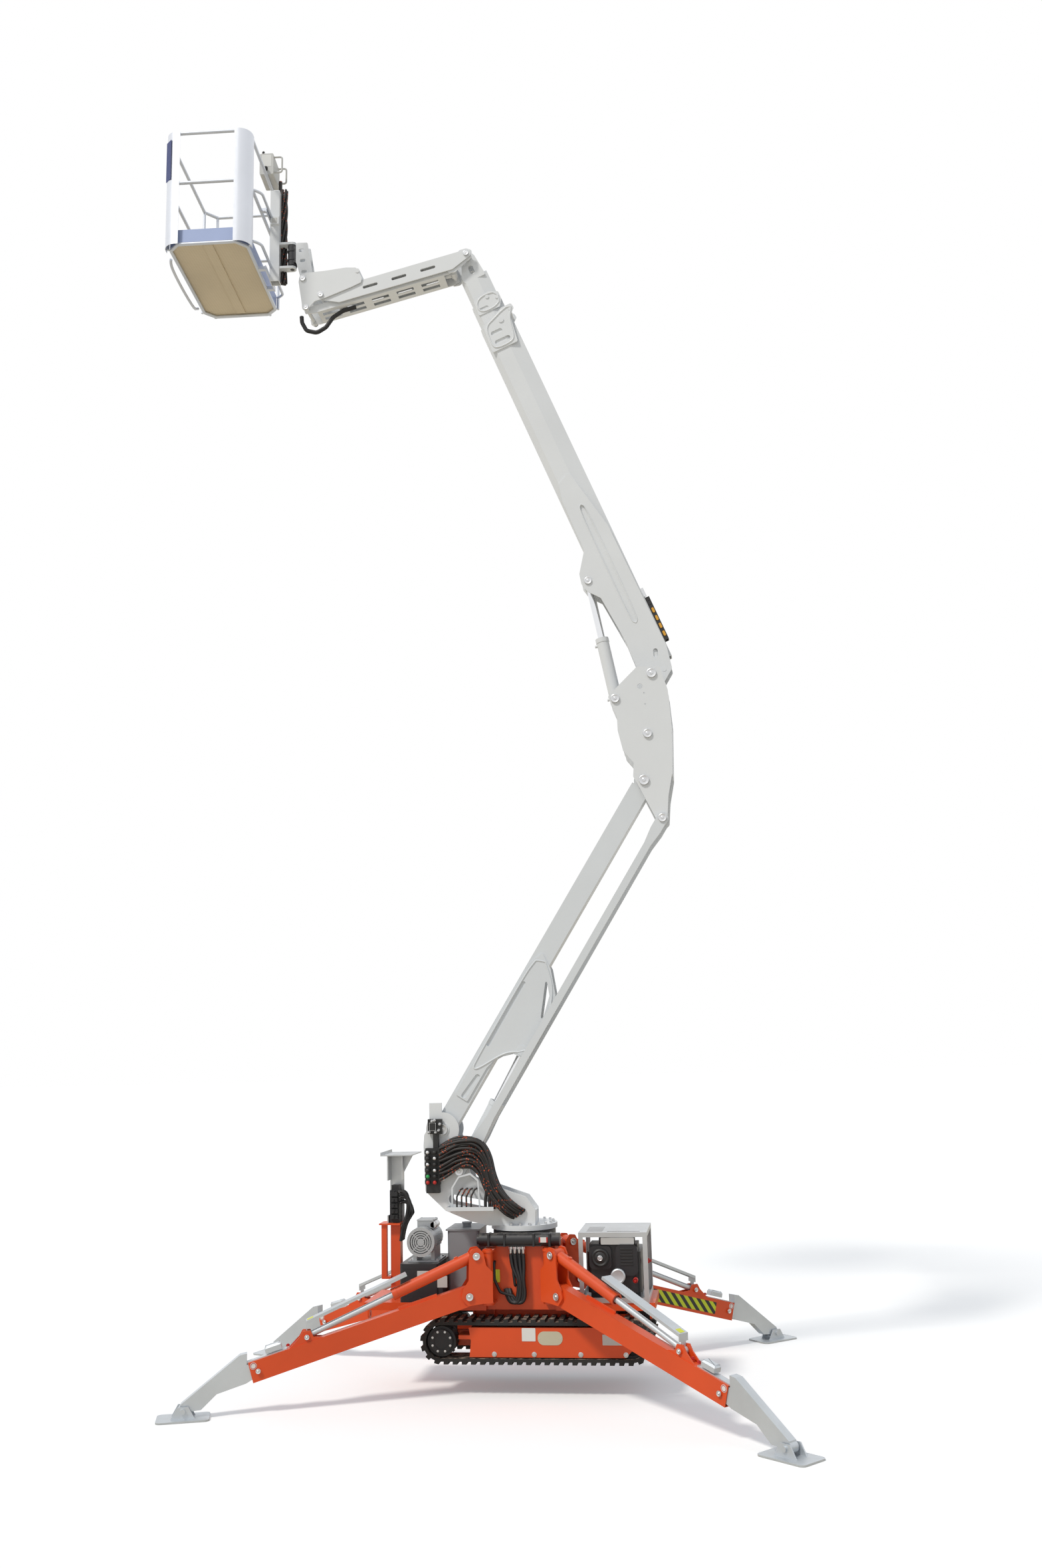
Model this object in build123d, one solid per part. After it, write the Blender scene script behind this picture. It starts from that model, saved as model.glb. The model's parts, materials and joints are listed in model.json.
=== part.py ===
from build123d import *
import os
from math import cos, hypot, pi, radians, sin

# Spider lift: a tracked aerial work platform standing on four outriggers.
# Millimetres, +Z up, +X from the front mast to the engine, -Y is the side nearer to the viewer.
# Every shape is drawn about the slewing axis with the floor at z = 0 and moved once at the end.

# The arm with its tie bars and the boom with its jib lie in two planes side by side,
# so that the folded boom passes beside the turret head.
arm_plane = -110.0
boom_plane = 110.0
run_fit = 0.05
side_gap = 5.0
seat = 0.3

# Turret pivot, arm and riser
pivot_x = -644.0
pivot_z = 2063.0
arm_length = 3403.0
arm_angle = 58.0
tie_dx = 144.0
tie_dz = -337.0
arm_half = 75.0
arm_depth = 170.0
arm_wall = 6.0
fin_thick = 12.0
arm_pin = 34.0
tie_pin = 26.0
riser_thick = 12.0
boom_pivot_dx = 102.0
boom_pivot_dz = 942.0
boom_foot_dx = -222.0
boom_foot_dz = 733.0

# Boom sections
boom_angle = 111.7
boom_half = 86.0
boom_depth = 320.0
boom_centre_n = 88.0
boom_wall = 6.0
slide_gap = 8.0
pad_fit = 0.5
boom_side = 12.0
outer_start = 150.0
outer_end = 3850.0
mid_start = 350.0
mid_end = 4100.0
inner_start = 500.0
jib_pin_u = 4606.0
jib_pin_n = 103.5
lift_pin_u = 1098.0
lift_pin_n = -150.0
boom_pin = 32.0

# Jib parallelogram and basket support
link_dx = -1430.0
link_dz = -288.0
pair_dx = -144.0
pair_dz = -120.0
jib_pin = 18.0
jib_rod_along = 1300.0
carrier_dx = -180.0
carrier_dz = 192.0
rotator_x = -2110.0
rotator_low = 10340.0
rotator_high = 10573.0
rotator_radius = 46.0
rotator_shaft = 22.0

# Basket
basket_turn = 5.0
basket_offset = 672.0
basket_width = 820.0
basket_length = 1400.0
basket_corner = 118.0
basket_floor_z = 10250.0
basket_height = 1150.0
rail_radius = 16.0
kick_height = 130.0
sheet = 4.0
post_half = 46.0
post_x = -2280.0
post_low = 10180.0
post_high = 11165.0

# Chassis and slewing ring
tower_half_x = 285.0
tower_half_y = 255.0
tower_low = 640.0
tower_high = 1130.0
plate_thick = 12.0
tie_down_z = 606.0
tie_down_bore = 16.0
tie_down_thick = 16.0
tie_down_radius = 34.0
tie_down_x = (-1262.0, 1042.0)
deck_half_y = 300.0
beam_low = 430.0
ring_high = 1250.0
ring_radius = 260.0
spigot_radius = 200.0
disc_radius = 275.0
worm_z = 1188.0
worm_radius = 52.0
disc_high = 1290.0
turret_thick = 15.0
turret_gap = 20.0

# Tracks
sprocket_x = -640.0
idler_x = 887.0
axle_z = 418.0
track_out = 171.0
track_band_out = 150.0
track_band_in = 126.0
track_inner_y = 170.0
track_outer_y = 400.0
lug_count = 54
lug_long = 38.0
frame_low = 301.0
frame_high = 526.0
roller_radius = 45.0
frame_plate = 10.0

# Legs, drawn in an upright plane through each pivot: r outwards, z up
leg_pivot_z = 778.0
front_pivot_x = -405.0
rear_pivot_x = 360.0
leg_pivot_y = 440.0
front_swing = 18.5
rear_swing = 40.8
leg_angle = -15.5
leg_top_n = -78.0
leg_low_n = 75.0
leg_half = 46.0
leg_wall = 6.0
leg_length = 1770.0
leg_pin = 22.0
swing_r = -165.0
swing_radius = 40.0
bracket_in = 55.0
bracket_thick = 12.0
ram_base_r = -60.0
ram_base_z = 1085.0
ram_eye_r = 1280.0
ram_eye_z = 545.0
ram_radius = 45.0
ram_barrel = 720.0
ram_rod = 24.0
foot_r = 2210.0
foot_length = 400.0
foot_width = 260.0
foot_thick = 12.0


def at(origin, angle, u, n=0.0):
    """Point u along a direction and n to its right, in the XZ plane."""
    a = radians(angle)
    return (origin[0] + u * cos(a) + n * sin(a), origin[1] + u * sin(a) - n * cos(a))


def group(parts):
    """Separate solids of one node."""
    return Compound([solid for part in parts for solid in part.solids()])


def heading(p, q):
    """Angle of the line from p to q, in degrees."""
    return Vector(1, 0, 0).get_signed_angle(Vector(q[0] - p[0], q[1] - p[1], 0), Vector(0, 0, 1))


def span(p, q):
    return hypot(q[0] - p[0], q[1] - p[1])


def outline(points, radius=0.0):
    face = make_face(Polyline(*points, close=True))
    if radius:
        face = fillet(face.vertices(), radius)
    return face


def upright(face, y0, y1):
    """Extrudes a face drawn in XZ from y0 to y1."""
    plane = Plane(origin=(0, y0, 0), x_dir=(1, 0, 0), z_dir=(0, -1, 0))
    return extrude(plane * face, amount=y1 - y0, dir=(0, 1, 0))


def plate(points, y0, y1, radius=0.0):
    return upright(outline(points, radius), y0, y1)


def plates(face, middle, inner, thick):
    """The same plate on both sides of a middle plane."""
    near = upright(face, middle - inner - thick, middle - inner)
    return near + upright(face, middle + inner, middle + inner + thick)


def disc(p, r, y0, y1):
    return Pos(p[0], (y0 + y1) / 2, p[1]) * Rot(90, 0, 0) * Cylinder(r, y1 - y0)


def boss(p, r, bore, y0, y1):
    return disc(p, r, y0, y1) - disc(p, bore, y0 - 1, y1 + 1)


def post(x, y, r, z0, z1):
    return Pos(x, y, (z0 + z1) / 2) * Cylinder(r, z1 - z0)


def slab(x0, x1, y0, y1, z0, z1):
    return Pos((x0 + x1) / 2, (y0 + y1) / 2, (z0 + z1) / 2) * Box(x1 - x0, y1 - y0, z1 - z0)


def bar(p, q, r):
    axis = Vector(*q) - Vector(*p)
    plane = Plane(origin=p, z_dir=axis)
    return extrude(plane * Circle(r), amount=axis.length)


def pipe(points, r, bends):
    """A tube of straight runs joined by tangent arcs."""
    path = FilletPolyline(*points, radius=bends)
    start = Plane(origin=path @ 0, z_dir=path % 0)
    return sweep(start * Circle(r), path=path)


def flat_bar(p, q, half, end_r, y0, y1):
    """A bar between two pins with rounded, wider ends."""
    along = heading(p, q)
    length = span(p, q)
    corners = [at(p, along, 0, -half), at(p, along, length, -half)]
    corners += [at(p, along, length, half), at(p, along, 0, half)]
    return plate(corners, y0, y1) + disc(p, end_r, y0, y1) + disc(q, end_r, y0, y1)


def tube_along(origin, angle, middle, u0, u1, n0, n1, half, wall):
    """A rectangular box section open at both ends."""
    skin = [at(origin, angle, u0, n0), at(origin, angle, u1, n0)]
    skin += [at(origin, angle, u1, n1), at(origin, angle, u0, n1)]
    void = [at(origin, angle, u0 - 1, n0 + wall), at(origin, angle, u1 + 1, n0 + wall)]
    void += [at(origin, angle, u1 + 1, n1 - wall), at(origin, angle, u0 - 1, n1 - wall)]
    solid = plate(skin, middle - half, middle + half)
    return solid - plate(void, middle - half + wall, middle + half - wall)


def slot_face(p, q, r):
    """A long hole between two points."""
    mid = ((p[0] + q[0]) / 2, (p[1] + q[1]) / 2)
    return Pos(mid[0], mid[1]) * Rot(0, 0, heading(p, q)) * SlotCenterToCenter(span(p, q), 2 * r)


def barrel(base, tip, middle, length, r, eye_half, bore, eye_r):
    """A hydraulic barrel with its foot eye, gland and two ports."""
    along = heading(base, tip)
    a = at(base, along, eye_r * 0.9)
    b = at(base, along, length)
    mouth = at(base, along, length - 40)
    body = bar((a[0], middle, a[1]), (b[0], middle, b[1]), r)
    body += bar((mouth[0], middle, mouth[1]), (b[0], middle, b[1]), r + 4)
    body += disc(base, eye_r, middle - eye_half, middle + eye_half)
    hollow = at(base, along, eye_r + 20)
    past = at(base, along, length + 1)
    body -= bar((hollow[0], middle, hollow[1]), (past[0], middle, past[1]), r - 9)
    return body - disc(base, bore, middle - eye_half - 1, middle + eye_half + 1)


def rod(base, tip, middle, inside, r, ram_r, eye_half, eye_r):
    """The chromed rod from its piston, inside the barrel, to the eye at its end."""
    along = heading(base, tip)
    total = span(base, tip)
    start = at(base, along, inside)
    end = at(base, along, total - eye_r * 0.7)
    body = bar((start[0], middle, start[1]), (end[0], middle, end[1]), r)
    piston = at(base, along, inside + 36)
    body += bar((start[0], middle, start[1]), (piston[0], middle, piston[1]), ram_r - 9 - run_fit)
    return body + disc(tip, eye_r, middle - eye_half, middle + eye_half)


# Pin centres in XZ
turret_pin = (pivot_x, pivot_z)
arm_top = at(turret_pin, arm_angle, arm_length)
tie_low = (turret_pin[0] + tie_dx, turret_pin[1] + tie_dz)
tie_high = (arm_top[0] + tie_dx, arm_top[1] + tie_dz)
boom_foot = (arm_top[0] + boom_pivot_dx, arm_top[1] + boom_pivot_dz)
ram_foot = (arm_top[0] + boom_foot_dx, arm_top[1] + boom_foot_dz)
fin_pin = at(turret_pin, arm_angle, 900, 250)
lift_pin = at(boom_foot, boom_angle, lift_pin_u, lift_pin_n)
jib_foot = at(boom_foot, boom_angle, jib_pin_u, jib_pin_n)
jib_second = (jib_foot[0] + pair_dx, jib_foot[1] + pair_dz)
yoke_pin = (jib_foot[0] + link_dx, jib_foot[1] + link_dz)
yoke_second = (jib_second[0] + link_dx, jib_second[1] + link_dz)
yoke_third = (yoke_pin[0] + carrier_dx, yoke_pin[1] + carrier_dz)
link_angle = heading(jib_foot, yoke_pin)
link_length = span(jib_foot, yoke_pin)
jib_ram_eye = at(jib_foot, link_angle, jib_rod_along)
rotator_y = boom_plane


def chassis_frame():
    """Welded tower under the slewing ring, cross beams and the two decks."""
    x, y, t = tower_half_x, tower_half_y, plate_thick
    tower = slab(-x, x, -y, y, tower_low, tower_high)
    tower -= slab(-x + t, x - t, -y + t, y - t, tower_low - 1, tower_high - t)
    tower -= slab(-x - 1, x + 1, -150, 150, tower_low + 120, tower_high - 90)
    tower += slab(-x, x, -y, y, tower_low, tower_low + t)
    for sx in (-420, 360):
        beam = slab(sx, sx + 180, -track_inner_y + 6, track_inner_y - 6, beam_low, tower_low)
        beam -= slab(sx + 10, sx + 170, -track_inner_y - 1, track_inner_y + 1, beam_low + 10, tower_low - 10)
        tower += beam
    spine = slab(-420, 540, -110, 110, beam_low + 60, tower_low)
    spine -= slab(-430, 550, -98, 98, beam_low + 72, tower_low - t)
    tower += spine
    for x0, x1 in ((-1300, -x), (x, 1080)):
        deck = slab(x0, x1, -deck_half_y, deck_half_y, tower_low, tower_low + 60)
        deck -= slab(x0 + t, x1 - t, -deck_half_y + t, deck_half_y - t, tower_low - 1, tower_low + 60 - t)
        tower += deck
    for lug_x in tie_down_x:
        for side in (-1, 1):
            y = side * (deck_half_y - tie_down_radius)
            x0, x1 = lug_x - tie_down_thick / 2, lug_x + tie_down_thick / 2
            tower += slab(x0, x1, y - tie_down_radius, y + tie_down_radius, tie_down_z, tower_low + 20)
            tower += bar((x0, y, tie_down_z), (x1, y, tie_down_z), tie_down_radius)
            tower -= bar((x0 - 1, y, tie_down_z), (x1 + 1, y, tie_down_z), tie_down_bore)
    for cx, cy in ((front_pivot_x, front_swing), (rear_pivot_x, rear_swing)):
        sign = -1 if cx < 0 else 1
        px = cx + sign * swing_r * cos(radians(cy))
        py = leg_pivot_y + swing_r * sin(radians(cy))
        for z0 in (700, tower_high - 26):
            for side in (-1, 1):
                ear = slab(px - 46, px + 46, y - t, py, z0, z0 + 16) + post(px, py, 46, z0, z0 + 16)
                if side < 0:
                    ear = mirror(ear, about=Plane.XZ)
                tower += ear
    return tower


def track_profile():
    length = idler_x - sprocket_x
    centre = ((idler_x + sprocket_x) / 2, axle_z)
    face = Pos(*centre) * SlotCenterToCenter(length, 2 * track_band_out)
    lugs = []
    straight = length
    turn = pi * track_band_out
    around = 2 * straight + 2 * turn
    deep = track_out - track_band_out
    for i in range(lug_count):
        s = (i + 0.5) * around / lug_count
        if s < straight:
            x, z, a = sprocket_x + s, axle_z - track_band_out - deep / 2 + 1, 0
        elif s < straight + turn:
            a = (s - straight) / track_band_out
            r = track_band_out + deep / 2 - 1
            x, z, a = idler_x + r * sin(a), axle_z - r * cos(a), a
        elif s < 2 * straight + turn:
            x, z, a = idler_x - (s - straight - turn), axle_z + track_band_out + deep / 2 - 1, 0
        else:
            a = (s - 2 * straight - turn) / track_band_out
            r = track_band_out + deep / 2 - 1
            x, z, a = sprocket_x - r * sin(a), axle_z + r * cos(a), a
        lugs.append(Pos(x, z) * Rot(0, 0, a * 180 / pi) * Rectangle(lug_long, deep + 2))
    face = face + lugs
    return face - Pos(*centre) * SlotCenterToCenter(length, 2 * track_band_in)


def track(side):
    y0, y1 = sorted((side * track_inner_y, side * track_outer_y))
    return upright(track_profile(), y0, y1)


def track_frames():
    """Side frames between the track runs, with the arms that carry them."""
    shape = [(-417, frame_high), (-400, 420), (-412, frame_low), (840, frame_low), (886, frame_low + 50)]
    shape += [(886, frame_high)]
    parts = []
    for side in (-1, 1):
        for inner in (track_inner_y + 20, track_outer_y - 15 - frame_plate):
            y0, y1 = sorted((side * inner, side * (inner + frame_plate)))
            parts.append(plate(shape, y0, y1))
        y0, y1 = sorted((side * (track_inner_y + 20), side * (track_outer_y - 15)))
        parts.append(slab(-400, idler_x - track_band_in - 20, y0, y1, frame_high - 12, frame_high))
        parts.append(slab(sprocket_x + 140, -400, y0, y1, frame_high - 90, frame_high - 60))
        parts.append(slab(sprocket_x + 20, -400, *sorted((side * 190, side * 225)), axle_z - 60, axle_z + 60))
        for sx in (-420, 360):
            y0, y1 = sorted((side * (track_inner_y - 6), side * (track_inner_y + 20)))
            parts.append(slab(sx, sx + 180, y0, y1, beam_low, frame_high))
    body = parts[0]
    for p in parts[1:]:
        body += p
    return body


def track_wheels():
    """Sprockets, idlers and rollers inside both tracks."""
    parts = []
    roller_z = axle_z - track_band_in + roller_radius + seat
    for side in (-1, 1):
        y0, y1 = sorted((side * 226, side * 373))
        hub = disc((sprocket_x, axle_z), 116, y0, y1) + disc((sprocket_x, axle_z), 92, *sorted((side * 225, side * 392)))
        teeth = [Pos(sprocket_x, axle_z) * Rot(0, 0, i * 360 / 15) * Pos(116, 0) * Rectangle(18, 16) for i in range(15)]
        hub += upright(Sketch() + teeth, *sorted((side * 270, side * 300)))
        parts.append(hub - disc((sprocket_x, axle_z), 60, *sorted((side * 388, side * 393))))
        y0, y1 = sorted((side * 210, side * 360))
        idler = disc((idler_x, axle_z), track_band_in - seat, y0, y1)
        idler -= boss((idler_x, axle_z), 105, 45, *sorted((side * 330, side * 361)))
        parts.append(idler)
        for x in (-217, 104, 477, 700):
            parts.append(disc((x, roller_z), roller_radius, *sorted((side * 201, side * 374))))
        for x in (-150, 500):
            parts.append(slab(x - 40, x + 40, *sorted((side * 240, side * 330)), frame_high, axle_z + track_band_in - seat))
    return group(parts)


def slew_ring():
    """Fixed slewing ring with the worm housing along its near side."""
    ring = post(0, 0, ring_radius, tower_high, ring_high) - post(0, 0, spigot_radius, tower_high + 20, ring_high + 1)
    ring += bar((-330, -ring_radius - 30, worm_z), (330, -ring_radius - 30, worm_z), worm_radius)
    ring += slab(-180, 180, -ring_radius - 60, -150, 1138, 1238) - post(0, 0, spigot_radius, 1100, 1300)
    ring += bar((-350, -ring_radius - 30, worm_z), (-300, -ring_radius - 30, worm_z), 38)
    for x in (-250, -120, 120, 250):
        ring += slab(x - 8, x + 8, -ring_radius - 88, -ring_radius + 30, 1138, 1238) - post(0, 0, ring_radius - 5, 1100, 1300)
    for i in range(16):
        a = radians(i * 22.5 + 11)
        ring -= post(230 * cos(a), 230 * sin(a), 9, ring_high - 12, ring_high + 1)
    return ring


def front_mast():
    """Column on the front deck that carries the boom rest."""
    deck = tower_low + 60
    column = slab(-1133, -1050, -52, 32, deck, 1284)
    column -= slab(-1125, -1058, -44, 24, deck + 20, 1285)
    column += slab(-1220, -1040, -110, 60, 1284, 1296)
    column += slab(-1204, -1160, -90, -46, deck + 150, 1284)
    column += slab(-1204, -1125, -90, 0, deck + 150, deck + 170)
    column += slab(-1150, -1030, -70, 60, deck, deck + 12)
    return column


def boom_rest():
    """Galvanised plate and channel that the folded boom lies on."""
    low, high = 1296, 1842
    back = slab(-1160, -1040, 60, 68, low, high)
    back += slab(-1160, -1150, -60, 68, low, high) - slab(-1170, -1140, -70, 50, low + 60, 1640)
    back += slab(-1050, -1040, 0, 68, 1640, high)
    back += slab(-1211, -941, boom_plane - 200, boom_plane + 200, high, high + 8)
    back += slab(-1211, -1205, boom_plane - 200, boom_plane + 200, high, high + 30)
    back += plate([(-1040, 1700), (-960, high), (-1040, high)], 60, 68)
    for y in (-30, 250):
        back -= slot_pair(-1076, y, high)
    return back


def slot_pair(x, y, z):
    return Pos(x, y, z + 4) * extrude(SlotOverall(80, 18), amount=6, both=True)


def valve_blocks():
    """Stacked control valves on the mast."""
    block = slab(-1139.7, -1060, -52, 46, 1296, 1560)
    for i in range(5):
        z = 1330 + i * 46
        block += slab(-1130, -1068, -92, -52, z, z + 34)
        block += post(-1099, -74, 9, z + 34, z + 46) if i == 4 else bar((-1099, -92, z + 17), (-1099, -118, z + 17), 9)
    block += slab(-1128, -1064, -40, 40, 1560, 1600)
    return block


def electric_motor():
    """Flanged motor lying across the front deck with its fan grille to the near side."""
    x, z, r = -822, 1170, 112
    body = disc((x, z), r - 10, -250, 120)
    fins = [Pos(x, z) * Rot(0, 0, i * 15) * Rectangle(2 * r, 5) for i in range(12)]
    body += upright(Sketch() + fins, -200, 80)
    body += disc((x, z), r + 4, -300, -200) - disc((x, z), r - 6, -293, -205)
    for rr in (30, 48, 66, 84):
        body -= boss((x, z), rr + 8, rr, -301, -292)
    for a in (45, 135):
        body += upright(Pos(x, z) * Rot(0, 0, a) * Rectangle(2 * r - 4, 8), -300, -293)
    body += disc((x, z), 20, -300, -250)
    body += slab(x - 60, x + 80, -150, 0, z + 90, z + 150)
    body += slab(x - 90, x - 60, -180, 60, 1012, z - 40) + slab(x + 60, x + 90, -180, 60, 1012, z - 40)
    return body + slab(x - 130, x + 130, -200, 100, 1000, 1012)


def oil_tank():
    """Hydraulic oil tank with a filler cap."""
    body = slab(-640, -370, -100, 290, 700, 1235)
    body = fillet(body.edges().filter_by(Axis.Z), 30)
    body += slab(-650, -360, -110, 300, 1235, 1247)
    return body + post(-500, 60, 36, 1247, 1275) + post(-500, 60, 42, 1275, 1287)


def power_box():
    """Closed cabinet under the motor."""
    body = slab(-1000, -680, -295, 295, 700, 1000)
    body = fillet(body.edges().filter_by(Axis.Z), 18)
    body += slab(-672, -645, -290, -120, 700, 960) + slab(-681, -671, -290, -120, 700, 960)
    return body - slab(-960, -720, -296, -292, 740, 960)


def engine_guard():
    """Open frame of angle posts round the engine."""
    x0, x1, y, z0, z1, a = 481, 1034, 310, 690, 1240, 36
    deck = tower_low + 60
    body = slab(x0, x1, -y, y, z1 - 5, z1) - slab(x0 + 230, x1 - 60, -y + 40, -y + 90, z1 - 10, z1 + 5)
    for i in range(7):
        body -= slab(x0 + 60, x0 + 190, -y + 60 + i * 46, -y + 80 + i * 46, z1 - 10, z1 + 5)
    for x in (x0, x1):
        for yy in (-y, y):
            sx = 1 if x == x0 else -1
            sy = 1 if yy < 0 else -1
            body += slab(*sorted((x, x + sx * a)), *sorted((yy, yy + sy * 5)), deck, z1)
            body += slab(*sorted((x, x + sx * 5)), *sorted((yy, yy + sy * a)), deck, z1)
    for yy in (-y, y - 5):
        body += slab(x0, x1, yy, yy + 5, z1 - 36, z1)
        body += slab(x0, x1, yy, yy + 5, deck, deck + 40)
    for x in (x0, x1 - 5):
        body += slab(x, x + 5, -y, y, z1 - 36, z1)
        body += slab(x, x + 5, -y, y, deck, deck + 40)
    body += slab(x0, x1, -y, y, deck, deck + 6)
    return body


def engine():
    """The engine as one block on its bed, at its true place."""
    low = tower_low + 66
    body = slab(540, 975, -230, 230, low + 60, 1080)
    body = fillet(body.edges().filter_by(Axis.Z), 40)
    body += slab(560, 960, -180, 180, low, low + 60)
    body += fillet(slab(560, 740, -258, -229, 950, 1130).edges().filter_by(Axis.Y), 40).solid()
    body += fillet(slab(775, 950, -258, -229, 900, 1140).edges().filter_by(Axis.Y), 40).solid()
    body += slab(560, 950, -229, 0, 1080, 1140)
    body += disc((650, 1040), 34, -282, -258) + disc((790, 900), 62, -275, -230)
    return body + bar((640, -200, 1165), (930, -200, 1165), 36)


def leg_brackets():
    """Fixed swing posts with the plates that hold each leg and its ram."""
    side = [(-190, 720), (-110, 720), (12, 708), (64, 770), (52, 830), (4, 900), (-2, 1090), (-30, 1140), (-84, 1146)]
    side += [(-118, 1110), (-140, 1010), (-190, 960)]
    face = outline(side, 14)
    parts = []
    one = plates(face, 0, bracket_in, bracket_thick)
    one += disc((0, leg_pivot_z), leg_pin, -bracket_in - bracket_thick - 8, bracket_in + bracket_thick + 8)
    one += disc((ram_base_r, ram_base_z), leg_pin, -bracket_in - bracket_thick - 8, bracket_in + bracket_thick + 8)
    one += post(swing_r, 0, swing_radius, 716, tower_high - 26)
    one += slab(swing_r - 8, swing_r + 8, -bracket_in, bracket_in, 730, 950)
    one += slab(swing_r - 30, swing_r + 30, -bracket_in - 2, bracket_in + 2, 716, 730)
    one += post(swing_r, 0, 34, tower_high - 10, tower_high - 2)
    parts = [where * one for where in leg_places()]
    return group(parts)


def leg_places():
    """Near front, far front, near rear and far rear pivots."""
    return [
        Location((front_pivot_x, -leg_pivot_y, 0), (0, 0, 180 + front_swing)),
        Location((front_pivot_x, leg_pivot_y, 0), (0, 0, 180 - front_swing)),
        Location((rear_pivot_x, -leg_pivot_y, 0), (0, 0, -rear_swing)),
        Location((rear_pivot_x, leg_pivot_y, 0), (0, 0, rear_swing)),
    ]


leg_foot = (0.0, leg_pivot_z)
ram_base = (ram_base_r, ram_base_z)
ram_eye = (ram_eye_r, ram_eye_z)


def leg_beam():
    """Box beam with the pivot boss, the ears for the ram and the end bolt."""
    pin_bore = leg_pin + run_fit
    body = tube_along(leg_foot, leg_angle, 0, -40, leg_length, leg_top_n, leg_low_n, leg_half, leg_wall)
    body += disc(leg_foot, 62, -bracket_in + 0.5, bracket_in - 0.5)
    body -= disc(leg_foot, pin_bore, -bracket_in - 1, bracket_in + 1)
    ears = [at(leg_foot, leg_angle, 1170, leg_top_n + 2), (ram_eye_r - 52, ram_eye_z), (ram_eye_r - 30, ram_eye_z + 46)]
    ears += [(ram_eye_r + 30, ram_eye_z + 46), (ram_eye_r + 56, ram_eye_z), at(leg_foot, leg_angle, 1450, leg_top_n + 2)]
    body += plates(outline(ears), 0, 28, 12)
    for side in (-1, 1):
        body += disc(ram_eye, 22, *sorted((side * 27, side * 50)))
    bolt = at(leg_foot, leg_angle, leg_length - 58)
    body += disc(bolt, 17, -leg_half - 10, leg_half + 10)
    guide = [at(leg_foot, leg_angle, 240, leg_top_n), at(leg_foot, leg_angle, 560, leg_top_n)]
    guide += [at(leg_foot, leg_angle, 560, leg_top_n - 22), at(leg_foot, leg_angle, 240, leg_top_n - 22)]
    return body + plate(guide, 18, 30)


def leg_lower():
    """Galvanised lower leg held in the beam's end, with its foot plate."""
    shape = [(1560, 400), (1560, 330), (1740, 232), (1960, 169), (2075, 64), (2150, 58), (2236, 70), (2230, 110)]
    shape += [(1790, 440), (1736, 450), (1736, 368)]
    half = leg_half - leg_wall - 2
    body = plate(shape, -half, half) - plate([(1750, 300), (1980, 210), (2080, 120), (2150, 120), (1800, 370)], -half + 6, half - 6)
    bolt = at(leg_foot, leg_angle, leg_length - 58)
    body -= disc(bolt, 17, -leg_half, leg_half)
    strap = [at(leg_foot, leg_angle, 1462, leg_top_n - 8), at(leg_foot, leg_angle, leg_length + 30, leg_top_n - 8)]
    strap += [at(leg_foot, leg_angle, leg_length + 30, leg_top_n), at(leg_foot, leg_angle, 1462, leg_top_n)]
    body += plate(strap, -30, 30)
    link = [at(leg_foot, leg_angle, leg_length + 12, leg_top_n - 4), at(leg_foot, leg_angle, leg_length + 30, leg_top_n - 4)]
    link += [at(leg_foot, leg_angle, leg_length + 30, -20), at(leg_foot, leg_angle, leg_length + 12, -20)]
    body += plate(link, -30, 30)
    ankle = (foot_r, 66)
    body += boss(ankle, 40, 20, -half, half) + disc(ankle, 20, -78, 78)
    for side in (-1, 1):
        ear = [(foot_r - 90, foot_thick), (foot_r - 42, 96), (foot_r + 42, 96), (foot_r + 90, foot_thick)]
        body += plate(ear, *sorted((side * 50, side * 62)))
    x0, x1 = foot_r - foot_length / 2, foot_r + foot_length / 2
    pad = slab(x0, x1, -foot_width / 2, foot_width / 2, 0, foot_thick)
    return body + fillet(pad.edges().filter_by(Axis.Z), 40)


def leg_barrel():
    body = barrel(ram_base, ram_eye, 0, ram_barrel, ram_radius, bracket_in - 5, leg_pin + run_fit, 46)
    along = heading(ram_base, ram_eye)
    port = at(ram_base, along, 150, -ram_radius - 8)
    inner = at(ram_base, along, 150, -ram_radius + 4)
    body += bar((port[0], 0, port[1]), (inner[0], 0, inner[1]), 16)
    return body


def leg_rod():
    """Rod with its eye and the bright cover plate that travels with it."""
    along = heading(ram_base, ram_eye)
    total = span(ram_base, ram_eye)
    body = rod(ram_base, ram_eye, 0, ram_barrel - 150, ram_rod, ram_radius, 22, 27)
    near = at(ram_base, along, 560, -112)
    far = at(ram_base, along, total - 40, -112)
    down = at(ram_base, along, total - 6, -20)
    thick = 6
    cover = [near, far, down, at(down, along, -thick * 1.2), at(far, along, -4, thick), at(near, along, 0, thick)]
    body += plate(cover, -47, 47) - plate([at(down, along, -80, -40), at(down, along, 60, -40), at(down, along, 60, 60), at(down, along, -80, 60)], -200, -23) - plate([at(down, along, -80, -40), at(down, along, 60, -40), at(down, along, 60, 60), at(down, along, -80, 60)], 23, 200)
    for side in (-1, 1):
        lip = [near, far, at(far, along, 0, 22), at(near, along, 0, 22)]
        body += plate(lip, *sorted((side * 43, side * 47)))
    return body


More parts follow.
